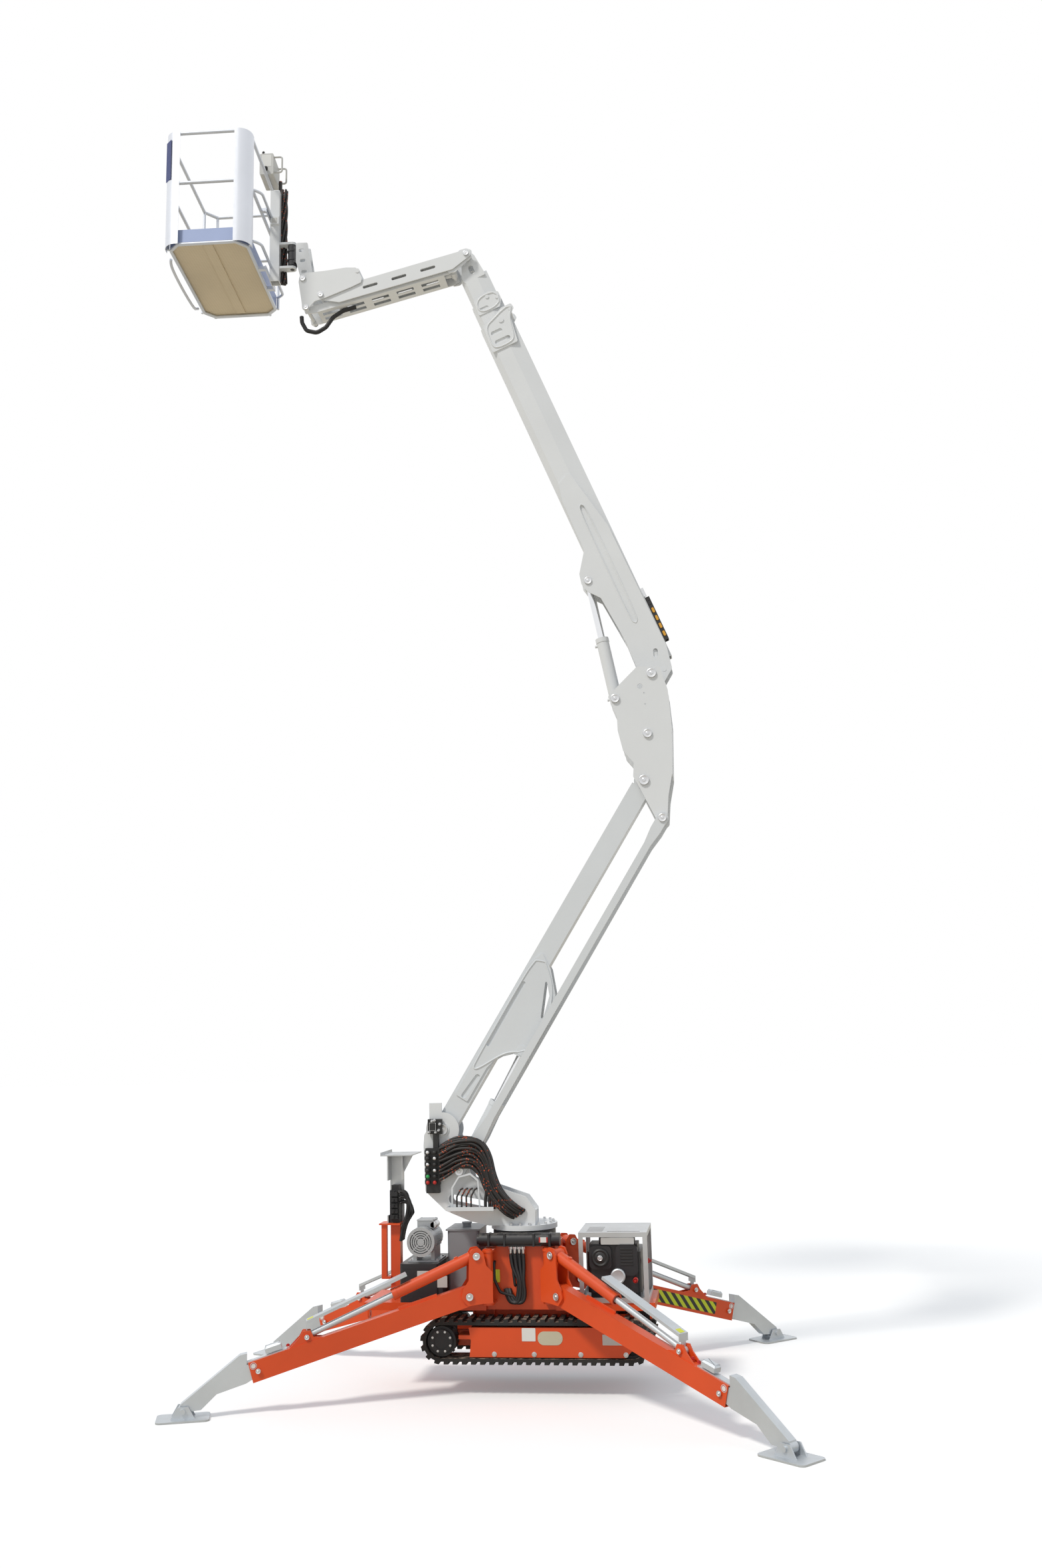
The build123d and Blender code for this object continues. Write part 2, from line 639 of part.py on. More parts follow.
def turret_frame():
    """Turning disc and the two tall side plates that hold the arm, the tie bars and the lift ram."""
    base = post(0, 0, disc_radius, ring_high + seat, disc_high)
    base += post(0, 0, spigot_radius - run_fit, ring_high - 60, disc_high)
    for i in range(20):
        a = radians(i * 18)
        base += post(245 * cos(a), 245 * sin(a), 10, disc_high, disc_high + 8)
    side = [(121, disc_high - 1), (123, 1414), (48, 1515), (-212, 1603), (-400, 1660), (-450, 1850), (-512, 2010)]
    side += [(-600, 2150), (-720, 2150), (-800, 2020), (-807, 1938), (-794, 1565), (-626, 1409), (-414, 1323)]
    side += [(-262, disc_high - 1)]
    face = outline(side, 9) + Pos(*turret_pin) * Circle(140)
    face -= slot_face((-560, 1500), (-300, 1450), 38)
    body = plates(face, arm_plane, arm_half + turret_gap, turret_thick)
    inner = arm_half + turret_gap
    y0, y1 = arm_plane - inner, arm_plane + inner
    body += slab(-260, 118, y0, y1, disc_high - 1, disc_high + 14)
    body += slab(60, 118, y0, y1, disc_high, 1400)
    body += plate([(-790, 1580), (-620, 1424), (-612, 1432), (-782, 1590)], y0, y1)
    body += slab(-793, -783, y0, y1, 1590, 1880)
    near, far = y0 - turret_thick, y1 + turret_thick
    body += disc(turret_pin, arm_pin, near - 10, far + 5) + disc(turret_pin, 60, near - 5, near)
    body += disc(tie_low, tie_pin, near - 34, far + 34)
    body += disc(turret_pin, 70, y0, y0 + turret_gap - 2) - disc(turret_pin, arm_pin - 2, y0 - 1, y0 + 40)
    body += disc(turret_pin, 70, y1 - turret_gap + 2, y1) - disc(turret_pin, arm_pin - 2, y1 - 40, y1 + 1)
    body += slab(-755, -648, y0 - turret_thick, y0, 2150, 2280)
    return base + body


def valve_bank():
    """Control valve sections with two columns of knobs on the near turret plate."""
    y1 = arm_plane - arm_half - turret_gap - turret_thick
    body = slab(-780, -660, y1 - 60, y1, 1622, 1915)
    for i in range(6):
        z = 1645 + i * 48
        for x in (-750, -692):
            body += bar((x, y1 - 60, z), (x, y1 - 88, z), 15)
        body += slab(-784, -656, y1 - 66, y1 - 40, z - 14, z + 14)
    body += slab(-775, -665, y1 - 56, y1, 1555, 1622)
    body += slab(-760, -640, y1 - 45, y1 - 12, 2030, 2150) + slab(-740, -690, y1 - 62, y1 - 45, 2060, 2120)
    return body + slab(-716, -672, y1 - 45, y1, 1915, 1985) + slab(-716, -672, y1 - 45, y1 - 12, 1985, 2030)


def hose_tray():
    """Shallow tray under the turret hoses."""
    y1 = arm_plane - arm_half - turret_gap - turret_thick
    tray = slab(-596, -202, y1 - 130, y1, 1420, 1426) + slab(-596, -202, y1 - 130, y1 - 124, 1420, 1450)
    arch = [(-560, 1426), (-560, 1600), (-500, 1690), (-400, 1716), (-330, 1660), (-318, 1426), (-330, 1426)]
    arch += [(-342, 1650), (-402, 1700), (-494, 1678), (-546, 1596), (-548, 1426)]
    guard = plate(arch, y1 - 80, y1 - 71)
    return tray + guard + slab(-596, -590, y1 - 130, y1, 1420, 1450)


def turret_hoses():
    """Hoses looped from the knob bank over the guard plate to the tray."""
    y1 = arm_plane - arm_half - turret_gap - turret_thick
    parts = []
    y = y1 - 56
    for dx, start, top in ((0, 1700, 1762), (34, 1740, 1800), (68, 1780, 1838)):
        loop = [(-656 + seat, y, start), (-600, y, start), (-530, y, top), (-390, y, top), (-290 + dx, y, top - 100)]
        loop += [(-262 + dx, y, 1600), (-280 + dx, y, 1500), (-280 + dx, y, 1426 + seat)]
        parts.append(pipe(loop, 13, [25, 60, 90, 90, 80, 80]))
    for i in range(4):
        x = -510 + i * 40
        y = y1 - 100 - i * 3
        parts.append(pipe([(x, y, 1426 + seat), (x, y, 1530), (x + 30, y + 8, 1585), (x + 30, y1 - seat, 1585)], 7, [22, 22]))
    return group(parts)


def lower_arm():
    """Box arm with doubler plates that widen into the fin for the lift ram."""
    half = arm_depth / 2
    body = tube_along(turret_pin, arm_angle, arm_plane, 60, arm_length - 60, -half, half, arm_half, arm_wall)
    for p in (turret_pin, arm_top):
        body += disc(p, half + 5, arm_plane - arm_half, arm_plane + arm_half)
    cut = slab(-3000, 3000, arm_plane - arm_half + arm_wall, arm_plane + arm_half - arm_wall, 0, 9000)
    fin = [at(turret_pin, arm_angle, u, n) for u, n in ((300, -60), (1560, -70), (1690, -20), (1610, 110))]
    fin += [at(turret_pin, arm_angle, u, n) for u, n in ((1430, 266), (1180, 316), (1010, 320), (850, 285), (838, 190))]
    fin += [at(turret_pin, arm_angle, u, n) for u, n in ((745, 92), (620, 60), (300, 60))]
    face = outline(fin, 12)
    window = [at(turret_pin, arm_angle, u, n) for u, n in ((1540, 106), (1410, 216), (1230, 262), (1200, 250))]
    face -= outline(window, 9)
    face -= slot_face(at(turret_pin, arm_angle, 800, -28), at(turret_pin, arm_angle, 1390, -28), 16)
    face -= slot_face(at(turret_pin, arm_angle, 330, 10), at(turret_pin, arm_angle, 520, 30), 22)
    body += plates(face, arm_plane, arm_half, fin_thick)
    for side in (-1, 1):
        reach = arm_plane + side * 56
        edge = arm_plane + side * (arm_half + fin_thick + 4)
        body += disc(fin_pin, 44, *sorted((reach, edge)))
    body += disc(arm_top, 62, arm_plane - arm_half - 12, arm_plane + arm_half + 12)
    return body - disc(turret_pin, arm_pin + run_fit, -400, 400) - disc(arm_top, arm_pin + run_fit, -400, 400)


def tie_rod():
    """Pair of levelling bars beside the arm, with widened ends."""
    inner = arm_half + turret_gap + turret_thick + 12
    body = None
    for side in (-1, 1):
        y0, y1 = sorted((arm_plane + side * inner, arm_plane + side * (inner + 18)))
        one = flat_bar(tie_low, tie_high, 30, 48, y0, y1)
        wide = [at(tie_low, arm_angle, u, n) for u, n in ((0, -47), (330, -47), (520, -30), (520, 30), (330, 47), (0, 47))]
        one += plate(wide, y0, y1)
        neck = [at(tie_high, arm_angle, u, n) for u, n in ((0, -47), (-120, -47), (-260, -30), (-260, 30), (-120, 47), (0, 47))]
        one += plate(neck, y0, y1)
        one -= disc(tie_low, tie_pin + run_fit, y0 - 1, y1 + 1) + disc(tie_high, tie_pin + run_fit, y0 - 1, y1 + 1)
        body = one if body is None else body + one
    return body


def arm_ram():
    eye_r = 52
    length = 630
    low = barrel(tie_low, fin_pin, arm_plane, length, 62, arm_half - 20, tie_pin + run_fit, eye_r)
    return low, rod(tie_low, fin_pin, arm_plane, 508, 36, 62, 40, 46)


def riser():
    """Three tall plates that join arm, tie bars, boom and boom ram."""
    shape = [(-22, 1010), (176, 1002), (190, 945), (236, 790), (256, 515), (242, 48), (202, -147), (186, -333)]
    shape += [(150, -368), (104, -372), (-42, -60), (-92, 36), (-82, 158), (-170, 268), (-210, 448), (-212, 572)]
    shape += [(-284, 756), (-190, 850)]
    points = [(arm_top[0] + dx, arm_top[1] + dz) for dx, dz in shape]
    face = outline(points, 20)
    hole = (arm_top[0] - 3, arm_top[1] + 832)
    third = (arm_top[0] + 47, arm_top[1] + 407)
    face -= Pos(*hole) * Circle(24)
    for dx, dz in ((32, 770), (37, 670)):
        face -= Pos(arm_top[0] + dx, arm_top[1] + dz) * Circle(8)
    t = riser_thick
    near = boom_plane - 337 - 0.0
    inner = boom_plane - 103 - t
    far = boom_plane + 105
    lows = {"near": near, "inner": inner, "far": far}
    body = None
    for y in lows.values():
        one = upright(face, y, y + t)
        body = one if body is None else body + one
    y_all = (near - 10, far + t + 10)
    body += disc(boom_foot, boom_pin, *y_all) + disc(ram_foot, 28, *y_all)
    body += disc(third, 30, *y_all) + disc(arm_top, arm_pin, near - 10, inner + t + 8)
    body += disc(tie_high, tie_pin, arm_plane - 146, arm_plane + 146)
    back = [(arm_top[0] + dx, arm_top[1] + dz) for dx, dz in ((246, 500), (254, 500), (240, 60), (232, 60))]
    body += plate(back, near + 1, far + t - 1)
    for p in (boom_foot, ram_foot, third):
        body += disc(p, 44, near - 4, near) + disc(p, 44, far + t, far + t + 4)
    body += disc(ram_foot, 40, inner + t, boom_plane - 52) + disc(ram_foot, 40, boom_plane + 52, far)
    return body


def boom_face(inset):
    """Folded section of a boom tube, drawn with x across and y towards the upper side."""
    half, deep = boom_half, boom_depth / 2
    pts = [(-half, -deep + 52), (-half, 26), (-half + 34, deep), (half - 34, deep), (half, 26)]
    pts += [(half, -deep + 52), (half - 38, -deep), (-half + 38, -deep)]
    face = outline(pts)
    return offset(face, amount=-inset, kind=Kind.INTERSECTION) if inset else face


def boom_tube(inset, u0, u1):
    start = at(boom_foot, boom_angle, u0, boom_centre_n)
    a = radians(boom_angle)
    plane = Plane(origin=(start[0], boom_plane, start[1]), x_dir=(0, -1, 0), z_dir=(cos(a), 0, sin(a)))
    face = boom_face(inset) - boom_face(inset + boom_wall)
    return extrude(plane * face, amount=u1 - u0)


def pads(half, deep, u0, u1, thick):
    """Four slide pads round a boom section, growing outwards from half by deep."""
    body = []
    for side in (-1, 1):
        y0, y1 = sorted((boom_plane + side * half, boom_plane + side * (half + thick)))
        ends = [(u0, -70), (u1, -70), (u1, 10), (u0, 10)]
        body.append(plate([at(boom_foot, boom_angle, u, boom_centre_n + n) for u, n in ends], y0, y1))
        n0, n1 = sorted((side * deep, side * (deep + thick)))
        ends = [(u0, n0), (u1, n0), (u1, n1), (u0, n1)]
        body.append(plate([at(boom_foot, boom_angle, u, boom_centre_n + n) for u, n in ends], boom_plane - 26, boom_plane + 26))
    return body


def boom_base():
    """Outer boom with folded section, side doublers, ram ears and head plates."""
    body = boom_tube(0, outer_start, outer_end)
    side = [(-88, -50), (-70, 66), (30, 200), (240, 240), (1500, 226), (2136, 108), (2072, -22), (1900, -58)]
    side += [(1380, -66), (1190, -196), (1098, -216), (1010, -196), (900, -110), (420, -70), (20, -86)]
    face = outline([at(boom_foot, boom_angle, u, n) for u, n in side], 22)
    face -= slot_face(at(boom_foot, boom_angle, 587, 82), at(boom_foot, boom_angle, 1761, 82), 26)
    face -= slot_face(at(boom_foot, boom_angle, 200, 118), at(boom_foot, boom_angle, 240, 132), 20)
    body += plates(face, boom_plane, boom_half, boom_side)
    head = [(3560, -60), (3560, 200), (3840, 236), (3900, 300), (3950, 290), (3950, 190), (3900, 90), (3850, -40)]
    head_face = outline([at(boom_foot, boom_angle, u, n) for u, n in head], 18)
    head_face -= slot_face(at(boom_foot, boom_angle, 3640, 20), at(boom_foot, boom_angle, 3640, 130), 22)
    head_face -= slot_face(at(boom_foot, boom_angle, 3740, 20), at(boom_foot, boom_angle, 3740, 90), 22)
    body += plates(head_face, boom_plane, boom_half, boom_side)
    pin = at(boom_foot, boom_angle, 3832, 139)
    small = at(boom_foot, boom_angle, 3901, 258)
    for side in (-1, 1):
        body += disc(pin, 26, *sorted((boom_plane + side * boom_half, boom_plane + side * 106)))
        reach = boom_plane + side * 46
        body += disc(lift_pin, 50, *sorted((reach, boom_plane + side * boom_half)))
        body += disc(lift_pin, 26, *sorted((reach, boom_plane + side * 104)))
    body += disc(small, 14, boom_plane - 102, boom_plane + 102)
    body += disc(at(boom_foot, boom_angle, 49, 131), 20, boom_plane - 100, boom_plane + 100)
    body += disc(boom_foot, 52, boom_plane - boom_half - boom_side, boom_plane + boom_half + boom_side)
    lip = boom_half - boom_wall - slide_gap + pad_fit
    deep = boom_depth / 2 - boom_wall - slide_gap + pad_fit
    for p in pads(lip, deep, outer_end - 180, outer_end - 30, slide_gap - pad_fit):
        body += p
    return body - disc(boom_foot, boom_pin + run_fit, -400, 400)


def cable_chain():
    """Energy chain on the upper side of the boom's foot, as links on a bracket."""
    top = boom_centre_n + boom_depth / 2
    body = []
    bed = [at(boom_foot, boom_angle, u, n) for u, n in ((300, top), (760, top), (760, top + 6), (300, top + 6))]
    body.append(plate(bed, boom_plane - 40, boom_plane + 40))
    for i in range(11):
        u = 310 + i * 40
        link = [(u, top + 6), (u + 37, top + 6), (u + 37, top + 44), (u, top + 44)]
        one = plate([at(boom_foot, boom_angle, a, b) for a, b in link], boom_plane - 36, boom_plane + 36)
        hole = [(u - 1, top + 14), (u + 38, top + 14), (u + 38, top + 36), (u - 1, top + 36)]
        one -= plate([at(boom_foot, boom_angle, a, b) for a, b in hole], boom_plane - 28, boom_plane + 28)
        body.append(one)
    chain = body[0]
    for one in body[1:]:
        chain += one
    return chain


def boom_mid():
    inset = boom_wall + slide_gap
    body = boom_tube(inset, mid_start, mid_end)
    half = boom_half - inset
    head = [(3980, -30), (3980, 190), (4060, 232), (4130, 232), (4180, 150), (4150, -20)]
    face = outline([at(boom_foot, boom_angle, u, n) for u, n in head], 18)
    face -= slot_face(at(boom_foot, boom_angle, 4030, 10), at(boom_foot, boom_angle, 4030, 70), 18)
    body += plates(face, boom_plane, half, 8)
    for u, n in ((4126, 114), (4082, 199)):
        for side in (-1, 1):
            body += disc(at(boom_foot, boom_angle, u, n), 18, *sorted((boom_plane + side * half, boom_plane + side * (half + 16))))
    deep = boom_depth / 2 - inset
    for p in pads(half, deep, mid_start + 20, mid_start + 170, slide_gap - pad_fit):
        body += p
    lip = half - boom_wall - slide_gap + pad_fit
    for p in pads(lip, deep - boom_wall - slide_gap + pad_fit, mid_end - 180, mid_end - 30, slide_gap - pad_fit):
        body += p
    return body


def boom_inner():
    inset = 2 * (boom_wall + slide_gap)
    half = boom_half - inset
    body = boom_tube(inset, inner_start, jib_pin_u - 190)
    head = [(4370, -20), (4370, 196), (4600, 175), (4662, 150), (4680, 100), (4650, 40), (4560, 20), (4420, -30)]
    face = outline([at(boom_foot, boom_angle, u, n) for u, n in head], 16)
    face -= slot_face(at(boom_foot, boom_angle, 4450, 90), at(boom_foot, boom_angle, 4500, 92), 24)
    body += plates(face, boom_plane, half - 12, 12)
    body += disc(jib_foot, 46, boom_plane - half, boom_plane + half)
    deep = boom_depth / 2 - inset
    for p in pads(half, deep, inner_start + 20, inner_start + 170, slide_gap - pad_fit):
        body += p
    return body - disc(jib_foot, jib_pin + run_fit, -400, 600)


def boom_ram():
    length = 660
    low = barrel(ram_foot, lift_pin, boom_plane, length, 56, 50, 28 + run_fit, 50)
    along = heading(ram_foot, lift_pin)
    for u in (90, 600):
        a = at(ram_foot, along, u, -50)
        b = at(ram_foot, along, u, -76)
        low += bar((a[0], boom_plane, a[1]), (b[0], boom_plane, b[1]), 13)
    return low, rod(ram_foot, lift_pin, boom_plane, 526, 32, 56, 40, 34)


def jib_head():
    """Fork at the boom tip that stays level and holds both jib links."""
    points = [(58, -30), (52, 40), (0, 62), (-60, 52), (-196, -70), (-206, -130), (-170, -178), (-110, -172), (20, -60)]
    face = outline([(jib_foot[0] + dx, jib_foot[1] + dz) for dx, dz in points], 18)
    body = plates(face, boom_plane, 115, 10)
    body += disc(jib_foot, jib_pin, boom_plane - 148, boom_plane + 148)
    body += disc(jib_second, jib_pin, boom_plane - 127, boom_plane + 127)
    for side in (-1, 1):
        body += disc(jib_foot, 36, *sorted((boom_plane + side * 64, boom_plane + side * 115)))
    return body


def link_points(origin, pairs):
    return [at(origin, link_angle, u, n) for u, n in pairs]


def jib_upper_link():
    """Main jib: side plates and a top plate, with inner ears for the jib ram."""
    bore = jib_pin + run_fit
    shape = [(-40, -30), (-36, 24), (60, 40), (1180, 40), (1330, 36), (link_length + 34, 26), (link_length + 34, -30)]
    shape += [(1300, -120), (160, -120)]
    face = outline(link_points(jib_foot, shape), 16)
    for u in (330, 620, 910):
        a, b = at(jib_foot, link_angle, u, -42), at(jib_foot, link_angle, u + 120, -42)
        face -= slot_face(a, b, 15)
    body = plates(face, boom_plane, 130, 10)
    top = [(134, 40), (1240, 40), (1240, 34), (134, 34)]
    body += plate(link_points(jib_foot, top), boom_plane - 130, boom_plane + 130)
    ear = [(1190, 38), (1240, 38), (1334, 16), (1334, -26), (1290, -34), (1262, -20)]
    body += plates(outline(link_points(jib_foot, ear)), boom_plane, 28, 10)
    for side in (-1, 1):
        body += disc(jib_ram_eye, 18, *sorted((boom_plane + side * 25, boom_plane + side * 50)))
    for y in (boom_plane,):
        body -= disc(jib_foot, bore, y - 200, y + 200) + disc(yoke_pin, bore, y - 200, y + 200)
    return body


def jib_lower_link():
    """Lower levelling link with a slotted underside."""
    bore = jib_pin + run_fit
    shape = [(-34, 26), (-34, -30), (40, -50), (link_length - 60, -50), (link_length + 30, -30), (link_length + 34, 26)]
    face = outline(link_points(jib_second, shape), 12)
    body = plates(face, boom_plane, 100, 10)
    low = [(90, -44), (link_length - 90, -44), (link_length - 90, -50), (90, -50)]
    floor = plate(link_points(jib_second, low), boom_plane - 100, boom_plane + 100)
    for i in range(5):
        u = 160 + i * 250
        cut = [(u, -30), (u + 170, -30), (u + 170, -60), (u, -60)]
        floor -= plate(link_points(jib_second, cut), boom_plane - 64, boom_plane - 18)
        floor -= plate(link_points(jib_second, cut), boom_plane + 18, boom_plane + 64)
    body += floor
    return body - disc(jib_second, bore, -200, 400) - disc(yoke_second, bore, -200, 400)


def jib_ram():
    length = 690
    low = barrel(jib_second, jib_ram_eye, boom_plane, length, 30, 40, jib_pin + run_fit, 32)
    return low, rod(jib_second, jib_ram_eye, boom_plane, 420, 17, 30, 20, 26)


def jib_yoke():
    """Gusset plates on the three yoke pins, the cross tube and the carrier of the rotator."""
    rel = [(-146, -152), (-60, -60), (48, -34), (300, 50), (400, 90), (410, 140), (352, 250), (250, 262), (40, 250)]
    rel += [(-150, 250), (-214, 220), (-222, 160), (-190, -60), (-184, -130)]
    face = outline([(yoke_pin[0] + dx, yoke_pin[1] + dz) for dx, dz in rel], 18)
    body = plates(face, boom_plane, 146, 10)
    cross = (yoke_pin[0] + 365, yoke_pin[1] + 214)
    body += disc(cross, 22, boom_plane - 162, boom_plane + 162)
    body += disc(yoke_pin, jib_pin, boom_plane - 164, boom_plane + 164)
    body += disc(yoke_second, jib_pin, boom_plane - 164, boom_plane + 164)
    body += disc(yoke_third, 24, boom_plane - 164, boom_plane + 164)
    inner = [(-275, 646), (-166, 636), (-110, 268), (-120, 150), (-212, 150), (-232, 260), (-275, 420)]
    inner_face = outline([(yoke_pin[0] + dx, yoke_pin[1] + dz) for dx, dz in inner], 12)
    for dz in (330, 450, 560):
        inner_face -= Pos(yoke_pin[0] - 200 - (dz - 330) * 0.12, yoke_pin[1] + dz) * SlotOverall(56, 34)
    body += plates(inner_face, boom_plane, 48, 10)
    for side in (-1, 1):
        body += disc(yoke_third, 40, *sorted((boom_plane + side * 58, boom_plane + side * 146)))
    x1 = rotator_x + rotator_radius + 12
    body += slab(x1 - 6, x1 + 8, boom_plane - 58, boom_plane + 58, rotator_low + 14, rotator_high - 14)
    return body


def rotator():
    """Rotary actuator with its shaft ends, bolted to the carrier."""
    y = rotator_y
    body = post(rotator_x, y, rotator_radius, rotator_low + 6, rotator_high - 6)
    body += post(rotator_x, y, rotator_shaft, rotator_low - 22, rotator_high + 22)
    x1 = rotator_x + rotator_radius + 6
    body += slab(rotator_x, x1, y - 40, y + 40, rotator_low + 30, rotator_high - 30)
    for z in (rotator_low + 70, rotator_high - 70):
        body += post(rotator_x, y, rotator_radius + 5, z - 8, z + 8)
    return body


def jib_hose():
    """Hose loop hanging under the jib's end, clipped to the lower link's underside."""
    r = 20
    low = -50 - r - seat
    l = link_length
    route = [(l - 460, low), (l - 330, low), (l - 220, low - 36), (l - 130, low - 120), (l - 30, low - 150)]
    route += [(l + 66, low - 96), (l + 92, low), (l + 84, -8)]
    points = [at(jib_second, link_angle, u, n) for u, n in route]
    return pipe([(x, boom_plane - 40, z) for x, z in points], r, [110, 110, 90, 70, 60, 60])


def basket_place():
    """Turns the basket about the rotator's axis to where it stands."""
    axis = Location((rotator_x, rotator_y, 0), (0, 0, basket_turn))
    return axis


def basket_points(inset, z):
    w, l, c = basket_width / 2 - inset, basket_length / 2 - inset, basket_corner - inset * 0.586
    x = -basket_offset
    pts = [(x - w + c, -l), (x + w - c, -l), (x + w, -l + c), (x + w, l - c), (x + w - c, l), (x - w + c, l)]
    pts += [(x - w, l - c), (x - w, -l + c)]
    return [(a, b, z) for a, b in pts]


def rail(z, inset, r):
    """A closed tube hoop at one height, made of two halves."""
    pts = basket_points(inset, z)
    mid_low = ((pts[0][0] + pts[1][0]) / 2, pts[0][1], z)
    mid_high = ((pts[4][0] + pts[5][0]) / 2, pts[4][1], z)
    right = pipe([mid_low] + pts[1:5] + [mid_high], r, 40)
    left = pipe([mid_high] + pts[5:8] + [pts[0], mid_low], r, 40)
    return right + left


def basket_frame():
    """Tube hoops, stanchions and bent corner posts of the basket."""
    low, top = basket_floor_z, basket_floor_z + basket_height
    r = rail_radius
    body = rail(low - r - seat, 2 * r + 8, r)
    body += rail(low + basket_height * 0.53, r, r)
    body += rail(top - r, r, r)
    pts = basket_points(r, 0)
    spots = [pts[0], pts[1], pts[2], pts[3], pts[4], pts[5], pts[6], pts[7]]
    for x, y, z in spots:
        body += post(x, y, r * 0.86, low - r, top - r)
    x0 = -basket_offset + basket_width / 2
    for z in (low - r - seat, low + basket_height * 0.53):
        for y in (-180, 180):
            body += slab(x0 - (2 * r + 8 if z < low else r), post_x - post_half - rotator_x, y - 20, y + 20, z - r, z + r)
        body += slab(post_x - post_half - rotator_x - 10, post_x - post_half - rotator_x, -200, 200, z - 24, z + 24)
    return basket_place() * body


def basket_floor():
    """Floor tray with kick plates and its centre stiffener."""
    inset = 2 * rail_radius + 1
    outer = outline([(x, y) for x, y, z in basket_points(inset, 0)])
    inner = outline([(x, y) for x, y, z in basket_points(inset + sheet, 0)])
    low = basket_floor_z
    tray = extrude(Pos(0, 0, low) * outer, amount=kick_height) - extrude(Pos(0, 0, low + sheet) * inner, amount=kick_height)
    tray += slab(-basket_offset - 45, -basket_offset + 45, -basket_length / 2 + 80, basket_length / 2 - 80, low - 12, low)
    return basket_place() * tray


def basket_bracket():
    """Square post beside the basket with the two arms that take the rotator's shaft."""
    x0, x1 = post_x - post_half - rotator_x, post_x + post_half - rotator_x
    body = slab(x0, x1, -post_half, post_half, post_low, post_high)
    body -= slab(x0 + 6, x1 - 6, -post_half + 6, post_half - 6, post_low - 1, post_high - 6)
    for z0, z1 in ((rotator_low - 24, rotator_low), (rotator_high, rotator_high + 24)):
        arm = slab(x1 - 2, 0, -40, 40, z0, z1) + Pos(0, 0, (z0 + z1) / 2) * Cylinder(40, z1 - z0)
        body += arm - Pos(0, 0, (z0 + z1) / 2) * Cylinder(rotator_shaft + run_fit, z1 - z0 + 4)
    body += slab(-212, -124, -post_half - 8, -post_half, 10780, 10880)
    for z in (10225, 10640, 10960):
        body += slab(x1 - 6, x1, post_half - 10, post_half + 34, z, z + 26)
    return basket_place() * body


def control_box():
    """Operator's panel on the top rail, with its guard loop and levers."""
    top = basket_floor_z + basket_height
    x = -basket_offset + basket_width / 2 - rail_radius
    body = slab(x - 70, x + 70, 20, 290, top, top + 230)
    body = fillet(body.edges().filter_by(Axis.Y), 14)
    for y in (70, 120, 170, 220):
        body += bar((x - 30, y, top + 228), (x - 44, y, top + 290), 8)
    loop = [(x + 70, 60, top + 40), (x + 150, 60, top + 40), (x + 150, 60, top + 210), (x + 70, 60, top + 210)]
    body += pipe(loop, 9, 24)
    loop = [(x + 70, 250, top + 40), (x + 150, 250, top + 40), (x + 150, 250, top + 210), (x + 70, 250, top + 210)]
    body += pipe(loop, 9, 24)
    return basket_place() * body


def basket_hose():
    """Hose bundle from the panel down beside the post."""
    top = basket_floor_z + basket_height
    x = post_x + post_half - rotator_x + 18 + seat
    route = [(x - 60, 160, top), (x - 60, 160, top - 130), (x, 74, top - 300), (x, 62, top - 620), (x, 62, post_low + 20)]
    return basket_place() * pipe(route, 18, [60, 100, 200])


def chassis_hoses():
    """Hoses on the near side of the tower, from the worm drive's ports down to the frame."""
    wall = -tower_half_y - seat
    y = -ring_radius - 30
    parts = []
    for i in range(3):
        x = -60 + i * 38
        low = 830 - i * 24
        route = [(x, y, worm_z - worm_radius - seat), (x, y, 1010), (x + 4, y - 8, 920), (x + 14, y, low), (x + 14, wall, low)]
        parts.append(pipe(route, 11, [60, 60, 16]))
    loop = [(-215, wall, 1010), (-215, y, 1010), (-215, y - 6, 880), (-168, y - 6, 780), (-64, y - 6, 752)]
    loop += [(-20, y - 4, 700), (-20, wall, 700)]
    parts.append(pipe(loop, 12, [20, 40, 40, 30, 18]))
    return group(parts)


def build():
    nodes = {
        "chassis_frame": chassis_frame(),
        "track_frames": track_frames(),
        "track_near": track(-1),
        "track_far": track(1),
        "track_wheels": track_wheels(),
        "slew_ring": slew_ring(),
        "front_mast": front_mast(),
        "boom_rest": boom_rest(),
        "valve_blocks": valve_blocks(),
        "electric_motor": electric_motor(),
        "oil_tank": oil_tank(),
        "power_box": power_box(),
        "engine_guard": engine_guard(),
        "engine": engine(),
        "leg_brackets": leg_brackets(),
        "chassis_hoses": chassis_hoses(),
        "turret_frame": turret_frame(),
        "valve_bank": valve_bank(),
        "turret_hoses": turret_hoses(),
        "hose_tray": hose_tray(),
        "lower_arm": lower_arm(),
        "tie_rod": tie_rod(),
        "riser": riser(),
        "boom_base": boom_base(),
        "cable_chain": cable_chain(),
        "boom_mid": boom_mid(),
        "boom_inner": boom_inner(),
        "jib_head": jib_head(),
        "jib_upper_link": jib_upper_link(),
        "jib_lower_link": jib_lower_link(),
        "jib_yoke": jib_yoke(),
        "rotator": rotator(),
        "jib_hose": jib_hose(),
        "basket_bracket": basket_bracket(),
        "basket_frame": basket_frame(),
        "basket_floor": basket_floor(),
        "control_box": control_box(),
        "basket_hose": basket_hose(),
    }
    nodes["arm_ram_barrel"], nodes["arm_ram_rod"] = arm_ram()
    nodes["boom_ram_barrel"], nodes["boom_ram_rod"] = boom_ram()
    nodes["jib_ram_barrel"], nodes["jib_ram_rod"] = jib_ram()
    pieces = {"beam": leg_beam(), "foot": leg_lower(), "barrel": leg_barrel(), "rod": leg_rod()}
    for name, where in zip(("near_front", "far_front", "near_rear", "far_rear"), leg_places()):
        for piece, shape in pieces.items():
            nodes[name + "_" + piece] = where * shape
    return nodes


